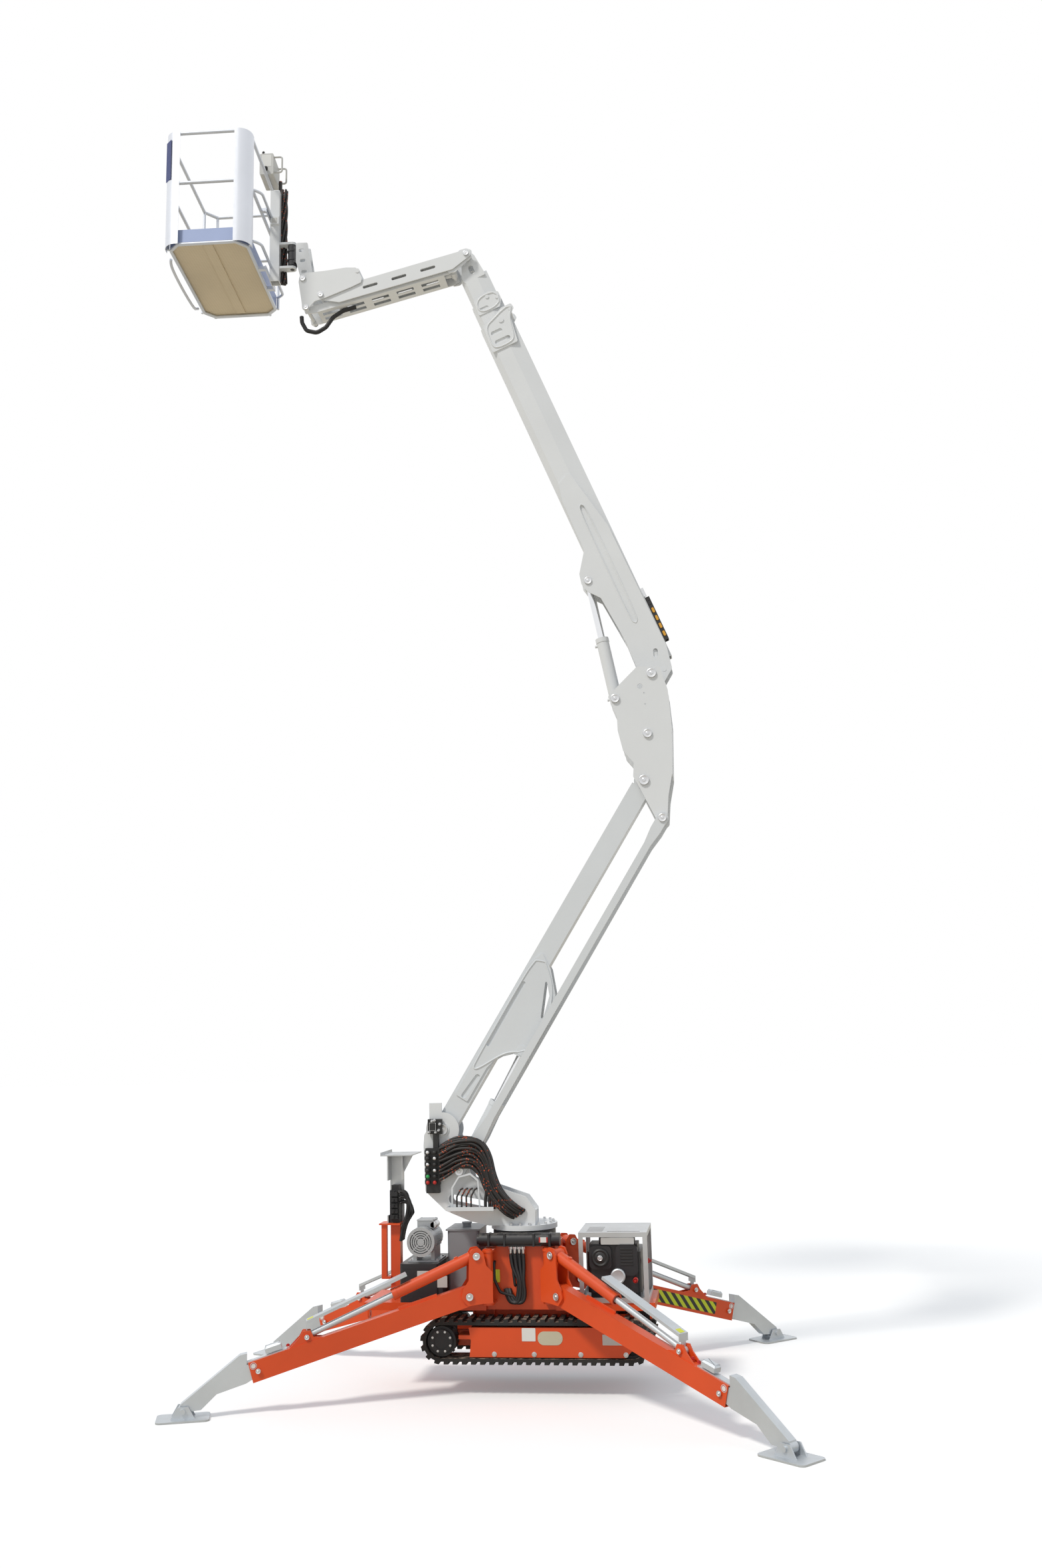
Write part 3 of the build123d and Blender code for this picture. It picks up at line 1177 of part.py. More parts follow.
def main():
    os.makedirs("parts", exist_ok=True)
    nodes = build()
    boxes = [shape.bounding_box() for shape in nodes.values()]
    low = [min(getattr(b.min, k) for b in boxes) for k in "XYZ"]
    high = [max(getattr(b.max, k) for b in boxes) for k in "XYZ"]
    shift = (-(low[0] + high[0]) / 2, -(low[1] + high[1]) / 2, -low[2])
    for name, shape in nodes.items():
        export_step(Pos(*shift) * shape, "parts/" + name + ".step")
    print("shift", " ".join("%.4f" % v for v in shift))
    print("size", " ".join("%.1f" % (b - a) for a, b in zip(low, high)))


if __name__ == "__main__":
    main()
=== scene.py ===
import bpy
import json
from math import cos, hypot, pi, radians, sin
from mathutils import Matrix, Vector


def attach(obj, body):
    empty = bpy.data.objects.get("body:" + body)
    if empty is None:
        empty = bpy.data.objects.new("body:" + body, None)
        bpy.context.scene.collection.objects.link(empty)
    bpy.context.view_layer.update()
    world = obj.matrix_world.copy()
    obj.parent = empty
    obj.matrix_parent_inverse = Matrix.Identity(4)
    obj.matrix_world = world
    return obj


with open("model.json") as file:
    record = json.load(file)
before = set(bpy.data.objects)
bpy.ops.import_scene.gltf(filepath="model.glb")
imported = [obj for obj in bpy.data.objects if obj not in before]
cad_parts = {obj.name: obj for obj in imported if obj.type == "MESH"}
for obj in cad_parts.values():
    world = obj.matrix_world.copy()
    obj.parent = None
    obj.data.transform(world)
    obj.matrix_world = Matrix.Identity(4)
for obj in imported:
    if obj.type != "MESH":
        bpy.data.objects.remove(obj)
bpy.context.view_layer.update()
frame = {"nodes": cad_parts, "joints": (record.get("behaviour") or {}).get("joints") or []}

nodes = frame["nodes"]

# Places are given from the slewing axis on the floor, in metres
slewJoint = [j for j in frame["joints"] if j["name"] == "slew"][0]
axisX = slewJoint["pos_m"][0]


def here(x, y, z):
    return Vector((x + axisX, y, z))


# camera, light and floor
camera = {"eye": (1.749, -11.881, 2.72), "yaw": 8.09, "pitch": 10.82, "roll": 1.39,
          "focalPixels": 2075.0, "framePixels": 2359.0, "sensor": 36.0}


def setCamera():
    yaw, pitch, roll = (radians(camera[k]) for k in ("yaw", "pitch", "roll"))
    ahead = Vector((-sin(yaw) * cos(pitch), cos(yaw) * cos(pitch), sin(pitch)))
    level = ahead.cross(Vector((0, 0, 1))).normalized()
    rise = level.cross(ahead)
    right = cos(roll) * level - sin(roll) * rise
    up = sin(roll) * level + cos(roll) * rise
    data = bpy.data.cameras.new("camera")
    data.sensor_fit = "VERTICAL"
    data.sensor_height = camera["sensor"]
    data.lens = camera["focalPixels"] / camera["framePixels"] * camera["sensor"]
    data.clip_end = 200
    obj = bpy.data.objects.new("camera", data)
    bpy.context.scene.collection.objects.link(obj)
    turn = Matrix((right, up, -ahead)).transposed().to_4x4()
    obj.matrix_world = Matrix.Translation(here(*camera["eye"])) @ turn
    bpy.context.scene.camera = obj


light = {"skyColour": (0.86, 0.92, 1.0), "skyStrength": 0.5, "sunColour": (1.0, 0.965, 0.9),
         "sunStrength": 1.75, "sunAngle": 9.0, "sunTurn": (40.0, 0.0, -38.0)}


def setLight():
    sun = bpy.data.lights.new("sun", "SUN")
    sun.energy = light["sunStrength"]
    sun.color = light["sunColour"]
    sun.angle = radians(light["sunAngle"])
    lamp = bpy.data.objects.new("sun", sun)
    lamp.rotation_euler = [radians(a) for a in light["sunTurn"]]
    bpy.context.scene.collection.objects.link(lamp)
    world = bpy.data.worlds.new("studio")
    bpy.context.scene.world = world
    world.use_nodes = True
    tree = world.node_tree
    tree.nodes.clear()
    out = tree.nodes.new("ShaderNodeOutputWorld")
    mix = tree.nodes.new("ShaderNodeMixShader")
    sky = tree.nodes.new("ShaderNodeBackground")
    seen = tree.nodes.new("ShaderNodeBackground")
    path = tree.nodes.new("ShaderNodeLightPath")
    most, every = (tree.nodes.new("ShaderNodeMath") for i in range(2))
    most.operation = every.operation = "MAXIMUM"
    sky.inputs["Color"].default_value = (*light["skyColour"], 1)
    sky.inputs["Strength"].default_value = light["skyStrength"]
    seen.inputs["Color"].default_value = (1, 1, 1, 1)
    tree.links.new(path.outputs["Is Camera Ray"], most.inputs[0])
    tree.links.new(path.outputs["Is Transmission Ray"], most.inputs[1])
    tree.links.new(most.outputs[0], every.inputs[0])
    tree.links.new(path.outputs["Is Glossy Ray"], every.inputs[1])
    tree.links.new(every.outputs[0], mix.inputs[0])
    tree.links.new(sky.outputs[0], mix.inputs[1])
    tree.links.new(seen.outputs[0], mix.inputs[2])
    tree.links.new(mix.outputs[0], out.inputs["Surface"])


floor = {"size": 240.0, "colour": (1.0, 1.0, 1.0), "bounce": (0.72, 0.66, 0.55), "glow": 0.17}


def setFloor():
    bpy.ops.object.select_all(action="DESELECT")
    bpy.ops.mesh.primitive_plane_add(size=floor["size"], location=(axisX, 0, -0.002))
    obj = bpy.context.object
    obj.name = "floor"
    mat = bpy.data.materials.new("floor")
    mat.use_nodes = True
    tree = mat.node_tree
    tree.nodes.clear()
    out = tree.nodes.new("ShaderNodeOutputMaterial")
    mix = tree.nodes.new("ShaderNodeMixShader")
    seen = tree.nodes.new("ShaderNodeBsdfDiffuse")
    unseen = tree.nodes.new("ShaderNodeBsdfDiffuse")
    glow = tree.nodes.new("ShaderNodeEmission")
    lifted = tree.nodes.new("ShaderNodeAddShader")
    glow.inputs["Strength"].default_value = floor["glow"]
    path = tree.nodes.new("ShaderNodeLightPath")
    seen.inputs["Color"].default_value = (*floor["colour"], 1)
    unseen.inputs["Color"].default_value = (*floor["bounce"], 1)
    tree.links.new(path.outputs["Is Camera Ray"], mix.inputs[0])
    tree.links.new(unseen.outputs[0], mix.inputs[1])
    tree.links.new(seen.outputs[0], lifted.inputs[0])
    tree.links.new(glow.outputs[0], lifted.inputs[1])
    tree.links.new(lifted.outputs[0], mix.inputs[2])
    tree.links.new(mix.outputs[0], out.inputs["Surface"])
    obj.data.materials.append(mat)


bpy.context.scene.view_settings.view_transform = "Standard"
setCamera()
setLight()
setFloor()
print("camera, light and floor")


# shared node groups
def newGroup(name, inputs, outputs):
    group = bpy.data.node_groups.new(name, "ShaderNodeTree")
    for label, kind, value in inputs:
        socket = group.interface.new_socket(name=label, in_out="INPUT", socket_type=kind)
        socket.default_value = value
    for label, kind in outputs:
        group.interface.new_socket(name=label, in_out="OUTPUT", socket_type=kind)
    return group, group.nodes.new("NodeGroupInput"), group.nodes.new("NodeGroupOutput")


# Noise on the object's own coordinates
def addNoise(tree, scale, detail=3.0, roughness=0.55, stretch=None, source=None):
    noise = tree.nodes.new("ShaderNodeTexNoise")
    noise.inputs["Detail"].default_value = detail
    noise.inputs["Roughness"].default_value = roughness
    if isinstance(scale, (int, float)):
        noise.inputs["Scale"].default_value = scale
    else:
        tree.links.new(scale, noise.inputs["Scale"])
    place = source or tree.nodes.new("ShaderNodeTexCoord").outputs["Object"]
    if stretch:
        mapping = tree.nodes.new("ShaderNodeMapping")
        mapping.inputs["Scale"].default_value = stretch
        tree.links.new(place, mapping.inputs["Vector"])
        place = mapping.outputs[0]
    tree.links.new(place, noise.inputs["Vector"])
    return noise.outputs["Fac"]


def addRange(tree, value, low, high, newLow=0.0, newHigh=1.0):
    node = tree.nodes.new("ShaderNodeMapRange")
    tree.links.new(value, node.inputs["Value"])
    for key, number in (("From Min", low), ("From Max", high), ("To Min", newLow), ("To Max", newHigh)):
        if isinstance(number, (int, float)):
            node.inputs[key].default_value = number
        else:
            tree.links.new(number, node.inputs[key])
    return node.outputs["Result"]


def addMath(tree, kind, a, b):
    node = tree.nodes.new("ShaderNodeMath")
    node.operation = kind
    for i, value in enumerate((a, b)):
        if isinstance(value, (int, float)):
            node.inputs[i].default_value = value
        else:
            tree.links.new(value, node.inputs[i])
    return node.outputs[0]


def addMix(tree, factor, a, b):
    node = tree.nodes.new("ShaderNodeMix")
    node.data_type = "RGBA"
    for key, value in (("Factor", factor), ("A", a), ("B", b)):
        socket = [s for s in node.inputs if s.name == key
                  and (s.type == "RGBA" or key == "Factor" and s.type == "VALUE")][0]
        if isinstance(value, (int, float)):
            socket.default_value = value
        elif isinstance(value, tuple):
            socket.default_value = (*value, 1)
        else:
            tree.links.new(value, socket)
    return [s for s in node.outputs if s.type == "RGBA"][0]


# Colour drift, dust on upward faces and a fine bump, all on Object coordinates
def makeFinishGroup():
    group, into, out = newGroup("surfaceFinish", [
        ("Colour", "NodeSocketColor", (0.8, 0.8, 0.8, 1)), ("Drift", "NodeSocketFloat", 0.06),
        ("Dust Colour", "NodeSocketColor", (0.55, 0.5, 0.42, 1)), ("Dust", "NodeSocketFloat", 0.2),
        ("Roughness", "NodeSocketFloat", 0.4), ("Grain Scale", "NodeSocketFloat", 220.0),
    ], [("Colour", "NodeSocketColor"), ("Roughness", "NodeSocketFloat"), ("Height", "NodeSocketFloat")])
    broad = addNoise(group, 1.7, 4.0)
    fine = addNoise(group, 23.0, 3.0)
    drift = addMath(group, "MULTIPLY", addRange(group, broad, 0.3, 0.7), into.outputs["Drift"])
    darker = addMix(group, drift, into.outputs["Colour"], (0.0, 0.0, 0.0))
    facing = group.nodes.new("ShaderNodeNewGeometry")
    split = group.nodes.new("ShaderNodeSeparateXYZ")
    group.links.new(facing.outputs["Normal"], split.inputs[0])
    upward = addRange(group, split.outputs["Z"], 0.45, 0.95)
    spots = addRange(group, fine, 0.42, 0.7)
    film = addMath(group, "MULTIPLY", addMath(group, "MULTIPLY", upward, spots), into.outputs["Dust"])
    dusty = addMix(group, film, darker, into.outputs["Dust Colour"])
    group.links.new(dusty, out.inputs["Colour"])
    rougher = addMath(group, "ADD", into.outputs["Roughness"], addMath(group, "MULTIPLY", fine, 0.12))
    group.links.new(addMath(group, "ADD", rougher, addMath(group, "MULTIPLY", film, 0.3)),
                    out.inputs["Roughness"])
    group.links.new(addNoise(group, into.outputs["Grain Scale"], 2.0), out.inputs["Height"])
    return group


finishGroup = makeFinishGroup()


# A finish built on the shared group; pattern may repaint its colour
def makeMaterial(name, colour, roughness=0.4, metallic=0.0, drift=0.08, dust=0.15,
                 dustColour=(0.55, 0.5, 0.42), grain=220.0, bump=0.02, coat=0.0, pattern=None):
    mat = bpy.data.materials.new(name)
    mat.use_nodes = True
    tree = mat.node_tree
    shader = tree.nodes["Principled BSDF"]
    shader.inputs["Metallic"].default_value = metallic
    shader.inputs["Coat Weight"].default_value = coat
    shader.inputs["Coat Roughness"].default_value = 0.12
    finish = tree.nodes.new("ShaderNodeGroup")
    finish.node_tree = finishGroup
    finish.inputs["Colour"].default_value = (*colour, 1)
    finish.inputs["Drift"].default_value = drift
    finish.inputs["Dust Colour"].default_value = (*dustColour, 1)
    finish.inputs["Dust"].default_value = dust
    finish.inputs["Roughness"].default_value = roughness
    finish.inputs["Grain Scale"].default_value = grain
    if pattern:
        tree.links.new(pattern(tree, colour), finish.inputs["Colour"])
    tree.links.new(finish.outputs["Colour"], shader.inputs["Base Color"])
    tree.links.new(finish.outputs["Roughness"], shader.inputs["Roughness"])
    relief = tree.nodes.new("ShaderNodeBump")
    relief.inputs["Strength"].default_value = 1.0
    relief.inputs["Distance"].default_value = bump * 0.01
    tree.links.new(finish.outputs["Height"], relief.inputs["Height"])
    tree.links.new(relief.outputs["Normal"], shader.inputs["Normal"])
    return mat


# Orange-red printed flecks along a hose cover
def speckle(tree, colour):
    cell = tree.nodes.new("ShaderNodeTexVoronoi")
    cell.inputs["Scale"].default_value = 46.0
    cell.inputs["Randomness"].default_value = 1.0
    tree.links.new(tree.nodes.new("ShaderNodeTexCoord").outputs["Object"], cell.inputs["Vector"])
    near = addRange(tree, cell.outputs["Distance"], 0.22, 0.3, 1.0, 0.0)
    patch = addRange(tree, addNoise(tree, 7.0, 2.0), 0.46, 0.54)
    return addMix(tree, addMath(tree, "MULTIPLY", near, patch), colour, (0.62, 0.1, 0.03))


# Tan tread plate: painted reflection of the ground's warm light, partly real dust, with the pressed marks of
# tread plate
def chequer(tree, colour):
    wave = tree.nodes.new("ShaderNodeTexChecker")
    wave.inputs["Scale"].default_value = 55.0
    place = tree.nodes.new("ShaderNodeTexCoord").outputs["Object"]
    turn = tree.nodes.new("ShaderNodeMapping")
    turn.inputs["Rotation"].default_value = (0, 0, radians(45))
    tree.links.new(place, turn.inputs["Vector"])
    tree.links.new(turn.outputs[0], wave.inputs["Vector"])
    return addMix(tree, addMath(tree, "MULTIPLY", wave.outputs["Fac"], 0.13), colour, (0.4, 0.34, 0.24))


# Slanting black stripes on yellow-green
def hazard(tree, colour):
    place = tree.nodes.new("ShaderNodeTexCoord").outputs["Object"]
    split = tree.nodes.new("ShaderNodeSeparateXYZ")
    tree.links.new(place, split.inputs[0])
    slant = addMath(tree, "ADD", addMath(tree, "MULTIPLY", split.outputs["X"], 17.0),
                    addMath(tree, "MULTIPLY", split.outputs["Z"], 9.0))
    band = addRange(tree, addMath(tree, "PINGPONG", slant, 0.5), 0.23, 0.27)
    return addMix(tree, band, (0.02, 0.02, 0.02), colour)


white = makeMaterial("whitePaint", (0.8, 0.82, 0.84), 0.34, drift=0.05, dust=0.05, coat=0.15)
armGrey = makeMaterial("armPaint", (0.74, 0.77, 0.8), 0.36, drift=0.05, dust=0.05, coat=0.12)
orange = makeMaterial("orangePaint", (0.8, 0.085, 0.012), 0.36, drift=0.12, dust=0.12,
                      dustColour=(0.72, 0.3, 0.14), coat=0.15)
blackPaint = makeMaterial("blackPaint", (0.02, 0.02, 0.024), 0.36, drift=0.1, dust=0.25, coat=0.1)
zinc = makeMaterial("galvanised", (0.62, 0.64, 0.66), 0.36, metallic=0.85, drift=0.22, dust=0.1, grain=60.0,
                    bump=0.04)
zincPale = makeMaterial("galvanisedPale", (0.66, 0.7, 0.74), 0.4, metallic=0.6, drift=0.2, dust=0.1,
                        grain=60.0, bump=0.03)
chrome = makeMaterial("chromedRod", (0.82, 0.83, 0.85), 0.12, metallic=1.0, drift=0.03, dust=0.0, bump=0.004)
steel = makeMaterial("brightSteel", (0.7, 0.71, 0.73), 0.28, metallic=1.0, drift=0.12, dust=0.03, bump=0.01)
alloy = makeMaterial("basketAlloy", (0.72, 0.76, 0.84), 0.34, metallic=0.55, drift=0.12, dust=0.0,
                     grain=120.0, bump=0.02)
# Blue-grey base colour is a painted reflection of blue sky on the kick plate's aluminium
kickSkyReflection = makeMaterial("kickPlateSkyReflection", (0.34, 0.41, 0.62), 0.42, metallic=0.35, drift=0.12, dust=0.0)
# Tan base colour is a painted reflection of the ground's warm light on the floor plate, partly real dust
treadReflectionAndDust = makeMaterial("treadPlateReflectionAndDust", (0.7, 0.6, 0.44), 0.6, metallic=0.1, drift=0.12, dust=0.0,
                          pattern=chequer)
rubber = makeMaterial("trackRubber", (0.022, 0.021, 0.021), 0.72, drift=0.2, dust=0.95,
                      dustColour=(0.52, 0.42, 0.32), grain=90.0, bump=0.12)
hose = makeMaterial("hoseRubber", (0.016, 0.016, 0.018), 0.42, drift=0.1, dust=0.08, bump=0.01)
hoseSpeckled = makeMaterial("speckledHose", (0.016, 0.014, 0.014), 0.46, drift=0.1, dust=0.05, bump=0.01,
                            pattern=speckle)
iron = makeMaterial("darkIron", (0.035, 0.035, 0.038), 0.5, metallic=0.4, drift=0.2, dust=0.25, bump=0.04)
blackPlastic = makeMaterial("blackPlastic", (0.02, 0.02, 0.021), 0.45, drift=0.08, dust=0.1)
palePlastic = makeMaterial("palePlastic", (0.64, 0.64, 0.62), 0.45, drift=0.05, dust=0.03)
motorGrey = makeMaterial("motorCasting", (0.5, 0.52, 0.54), 0.38, metallic=0.55, drift=0.15, dust=0.08,
                         bump=0.03)
tankGrey = makeMaterial("tankPaint", (0.3, 0.31, 0.33), 0.4, drift=0.1, dust=0.2)

nodeFinish = {
    "chassis_frame": orange, "track_frames": orange, "track_near": rubber, "track_far": rubber,
    "track_wheels": iron, "slew_ring": blackPaint, "front_mast": orange, "boom_rest": zinc,
    "valve_blocks": iron, "electric_motor": motorGrey, "oil_tank": tankGrey, "power_box": blackPaint,
    "engine_guard": zinc, "engine": blackPaint, "leg_brackets": orange, "chassis_hoses": hose,
    "turret_frame": white, "valve_bank": blackPlastic, "turret_hoses": hoseSpeckled,
    "hose_tray": armGrey, "lower_arm": armGrey, "tie_rod": armGrey, "riser": white, "boom_base": white,
    "cable_chain": blackPlastic, "boom_mid": white, "boom_inner": white, "jib_head": white,
    "jib_upper_link": white, "jib_lower_link": white, "jib_yoke": white, "rotator": blackPaint,
    "jib_hose": hose, "basket_bracket": white, "basket_frame": alloy, "basket_floor": treadReflectionAndDust,
    "control_box": palePlastic, "basket_hose": hoseSpeckled,
    "arm_ram_barrel": armGrey, "boom_ram_barrel": white, "jib_ram_barrel": white,
    "arm_ram_rod": chrome, "boom_ram_rod": chrome, "jib_ram_rod": chrome,
}
for legName in ("near_front", "far_front", "near_rear", "far_rear"):
    nodeFinish[legName + "_beam"] = orange
    nodeFinish[legName + "_foot"] = zincPale
    nodeFinish[legName + "_barrel"] = orange
    nodeFinish[legName + "_rod"] = zincPale

for name, obj in nodes.items():
    obj.data.materials.clear()
    obj.data.materials.append(nodeFinish[name])
# The tray's upright faces take the kick plate's painted sky reflection
tray = nodes["basket_floor"].data
tray.materials.append(kickSkyReflection)
trayLow = min(v.co.z for v in tray.vertices)
for face in tray.polygons:
    if abs(face.normal.z) < 0.3 and face.center.z > trayLow + 0.03:
        face.material_index = 1
print("finishes on", len(nodes), "nodes")

# modelling helpers
armY, boomY = -0.11, 0.11
legPivotZ, beamTilt = 0.778, radians(-15.5)
legSpots = {"near_front": (-0.405, -0.44, 198.5), "far_front": (-0.405, 0.44, 161.5),
            "near_rear": (0.36, -0.44, -40.8), "far_rear": (0.36, 0.44, 40.8)}


def startClean():
    if bpy.context.object and bpy.context.object.mode != "OBJECT":
        bpy.ops.object.mode_set(mode="OBJECT")
    bpy.ops.object.select_all(action="DESELECT")


# Selects faces or edges by their place and enters edit mode
def pick(obj, kind, test):
    bpy.ops.object.mode_set(mode="OBJECT")
    mesh = obj.data
    for part in (mesh.vertices, mesh.edges, mesh.polygons):
        for item in part:
            item.select = False
    if kind == "faces":
        for face in mesh.polygons:
            face.select = test(face.center, face.normal)
    else:
        for edge in mesh.edges:
            a, b = (mesh.vertices[i].co for i in edge.vertices)
            edge.select = test(a, b)
    bpy.context.tool_settings.mesh_select_mode = (False, kind == "edges", kind == "faces")
    bpy.ops.object.mode_set(mode="EDIT")


def leaveEdit():
    bpy.ops.object.mode_set(mode="OBJECT")


# Puts an object's place into its mesh
def settle(obj):
    startClean()
    obj.select_set(True)
    bpy.context.view_layer.objects.active = obj
    bpy.ops.object.transform_apply(location=True, rotation=True, scale=True)
    return obj


def joined(pieces):
    startClean()
    for piece in pieces:
        piece.select_set(True)
    bpy.context.view_layer.objects.active = pieces[0]
    if len(pieces) > 1:
        bpy.ops.object.join()
    return bpy.context.object


def dress(obj, name, body, finish):
    obj.name = name
    obj.data.name = name
    obj.data.materials.clear()
    obj.data.materials.append(finish)
    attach(obj, body)
    return obj


def smooth(obj, angle=35):
    startClean()
    obj.select_set(True)
    bpy.context.view_layer.objects.active = obj
    bpy.ops.object.shade_smooth_by_angle(angle=radians(angle))
    return obj


# Stands a piece's own Z along a normal at a point
def facing(point, normal, turn=0.0):
    stand = Vector(normal).to_track_quat("Z", "Y").to_matrix().to_4x4()
    return Matrix.Translation(point) @ stand @ Matrix.Rotation(turn, 4, "Z")


def nearFace(x, y, z):
    return facing(here(x, y, z), (0, -1, 0))


# The same place on the near side (-1) or the far side (1)
def sideFace(x, y, z, side):
    return facing(here(x, side * y, z), (0, side, 0))


# Copies of one piece at many places, kept as one object
def spread(source, places, name, body, finish):
    copies = []
    for place in places:
        copy = source.copy()
        copy.data = source.data.copy()
        copy.data.transform(place)
        bpy.context.scene.collection.objects.link(copy)
        copies.append(copy)
    return dress(joined(copies), name, body, finish)


def drop(*pieces):
    for piece in pieces:
        bpy.data.objects.remove(piece)


# Hexagon head with a chamfered top on a washer
def makeBolt(radius, height, washer=1.45):
    startClean()
    bpy.ops.mesh.primitive_cylinder_add(vertices=6, radius=radius, depth=height,
                                        location=(0, 0, height * 0.7))
    head = settle(bpy.context.object)
    top = height * 1.2
    pick(head, "edges", lambda a, b: min(a.z, b.z) > top - 1e-5)
    bpy.ops.mesh.bevel(offset=radius * 0.14, segments=1)
    leaveEdit()
    bpy.ops.mesh.primitive_cylinder_add(vertices=16, radius=radius * washer, depth=height * 0.4,
                                        location=(0, 0, 0))
    ring = settle(bpy.context.object)
    pick(ring, "edges", lambda a, b: min(a.z, b.z) > height * 0.19)
    bpy.ops.mesh.bevel(offset=radius * 0.1, segments=1)
    leaveEdit()
    return joined([head, ring])


# Turned pin end: rounded edge, shallow dish and a centre bolt
def makeCap(radius, height, bolt=0.35):
    startClean()
    bpy.ops.mesh.primitive_cylinder_add(vertices=28, radius=radius, depth=height, location=(0, 0, height / 2))
    cap = settle(bpy.context.object)
    pick(cap, "edges", lambda a, b: min(a.z, b.z) > height - 1e-5)
    bpy.ops.mesh.bevel(offset=min(height * 0.4, radius * 0.16), segments=2)
    leaveEdit()
    pick(cap, "faces", lambda c, n: n.z > 0.99)
    bpy.ops.mesh.inset(thickness=radius * 0.3)
    bpy.ops.transform.translate(value=(0, 0, -height * 0.3))
    leaveEdit()
    head = makeBolt(radius * bolt, height * 0.5)
    head.data.transform(Matrix.Translation((0, 0, height * 0.72)))
    return smooth(joined([cap, head]), 30)


# Thin plate with rounded corners, standing on its own Z
def makePanel(width, depth, thick, corner, segments=5):
    startClean()
    bpy.ops.mesh.primitive_cube_add(size=1, location=(0, 0, thick / 2))
    obj = bpy.context.object
    obj.scale = (width, depth, thick)
    settle(obj)
    pick(obj, "edges", lambda a, b: abs(a.z - b.z) > thick * 0.5)
    bpy.ops.mesh.bevel(offset=corner, segments=segments)
    leaveEdit()
    pick(obj, "edges", lambda a, b: min(a.z, b.z) > thick - 1e-6)
    bpy.ops.mesh.bevel(offset=thick * 0.3, segments=1)
    leaveEdit()
    return obj


def alongBeam(u, n):
    return (u * cos(beamTilt) + n * sin(beamTilt), legPivotZ + u * sin(beamTilt) - n * cos(beamTilt))


def onLeg(leg, r, t, z):
    x, y, heading = legSpots[leg]
    a = radians(heading)
    return here(x + r * cos(a) - t * sin(a), y + r * sin(a) + t * cos(a), z)


def legSide(leg, sign):
    a = radians(legSpots[leg][2])
    return Vector((-sin(a) * sign, cos(a) * sign, 0))


# pin ends
pins = {  # body: (x, z, middle y, half length, radius)
    "turret": [(-0.644, 2.063, -0.1125, 0.1175, 0.046), (-0.5, 1.726, -0.11, 0.144, 0.036)],
    "riser": [(1.2613, 5.8909, 0, 0.237, 0.042), (0.9373, 5.6819, 0, 0.237, 0.038),
              (1.2063, 5.3559, 0, 0.237, 0.038), (1.1593, 4.9489, -0.111, 0.126, 0.044),
              (1.3033, 4.6119, -0.11, 0.146, 0.036)],
    "boom_outer": [(0.716, 6.8556, 0.11, 0.104, 0.034)],
    "head": [(-0.3456, 10.2088, 0.11, 0.148, 0.026), (-0.4896, 10.0888, 0.11, 0.127, 0.026)],
    "yoke": [(-1.7756, 9.9208, 0.11, 0.164, 0.027), (-1.9196, 9.8008, 0.11, 0.164, 0.027),
             (-1.9556, 10.1128, 0.11, 0.164, 0.03)],
}


def makePinEnds():
    for body, spots in pins.items():
        made = []
        for x, z, y, half, radius in spots:
            cap = makeCap(radius, 0.009)
            for side in (-1, 1):
                copy = cap.copy()
                copy.data = cap.data.copy()
                copy.data.transform(facing(here(x, y + side * half, z), (0, side, 0)))
                bpy.context.scene.collection.objects.link(copy)
                made.append(copy)
            drop(cap)
        dress(joined(made), body + "_pin_ends", body, steel)
    for leg in legSpots:
        cap = makeCap(0.03, 0.008)
        places = []
        for r, z in ((0, legPivotZ), (-0.06, 1.085)):
            for side in (-1, 1):
                places.append(facing(onLeg(leg, r, side * 0.075, z), legSide(leg, side)))
        spread(cap, places, leg + "_bracket_pin_ends", "chassis", steel)
        r, z = alongBeam(1.712, 0)
        small = makeCap(0.02, 0.01)
        places = [facing(onLeg(leg, r, side * 0.056, z), legSide(leg, side)) for side in (-1, 1)]
        places += [facing(onLeg(leg, 1.28, side * 0.05, 0.545), legSide(leg, side)) for side in (-1, 1)]
        spread(small, places, leg + "_beam_pin_ends", leg + "_leg", steel)
        drop(cap, small)


makePinEnds()
print("pin ends")

# legs: round plates, stripes and small fittings
legLabel = {"u": 1.738, "n": -0.046, "radius": 0.026, "thick": 0.002}


# White disc with a raised red ring, left blank
def makeRoundLabel():
    startClean()
    bpy.ops.mesh.primitive_cylinder_add(vertices=36, radius=legLabel["radius"], depth=legLabel["thick"],
                                        location=(0, 0, legLabel["thick"] / 2))
    disc = settle(bpy.context.object)
    pick(disc, "faces", lambda c, n: n.z > 0.99)
    bpy.ops.mesh.inset(thickness=legLabel["radius"] * 0.1)
    leaveEdit()
    bpy.ops.mesh.primitive_torus_add(major_radius=legLabel["radius"] * 0.78, minor_radius=0.0022,
                                     major_segments=36, minor_segments=6,
                                     location=(0, 0, legLabel["thick"]))
    ring = settle(bpy.context.object)
    return disc, ring


def makeLegParts():
    for leg in legSpots:
        body = leg + "_leg"
        r, z = alongBeam(legLabel["u"], legLabel["n"])
        disc, ring = makeRoundLabel()
        places = [facing(onLeg(leg, r, side * 0.0462, z), legSide(leg, side)) for side in (-1, 1)]
        spread(disc, places, leg + "_round_plates", body, labelWhite)
        spread(ring, places, leg + "_round_plate_rings", body, redPaint)
        drop(disc, ring)
        # sensor box and its two red caps on the strap
        r, z = alongBeam(1.56, -0.099)
        box = makePanel(0.13, 0.075, 0.05, 0.008, 3)
        turn = Matrix.Rotation(radians(legSpots[leg][2]), 4, "Z") @ Matrix.Rotation(-beamTilt, 4, "Y")
        place = Matrix.Translation(onLeg(leg, r, 0, z)) @ turn
        spread(box, [place], leg + "_sensor_box", body, zincPale)
        knob = makeCap(0.014, 0.014, 0.5)
        places = [place @ Matrix.Translation((dx, 0, -0.006)) for dx in (-0.17, -0.11)]
        spread(knob, places, leg + "_strap_caps", body, redPaint)
        drop(box, knob)


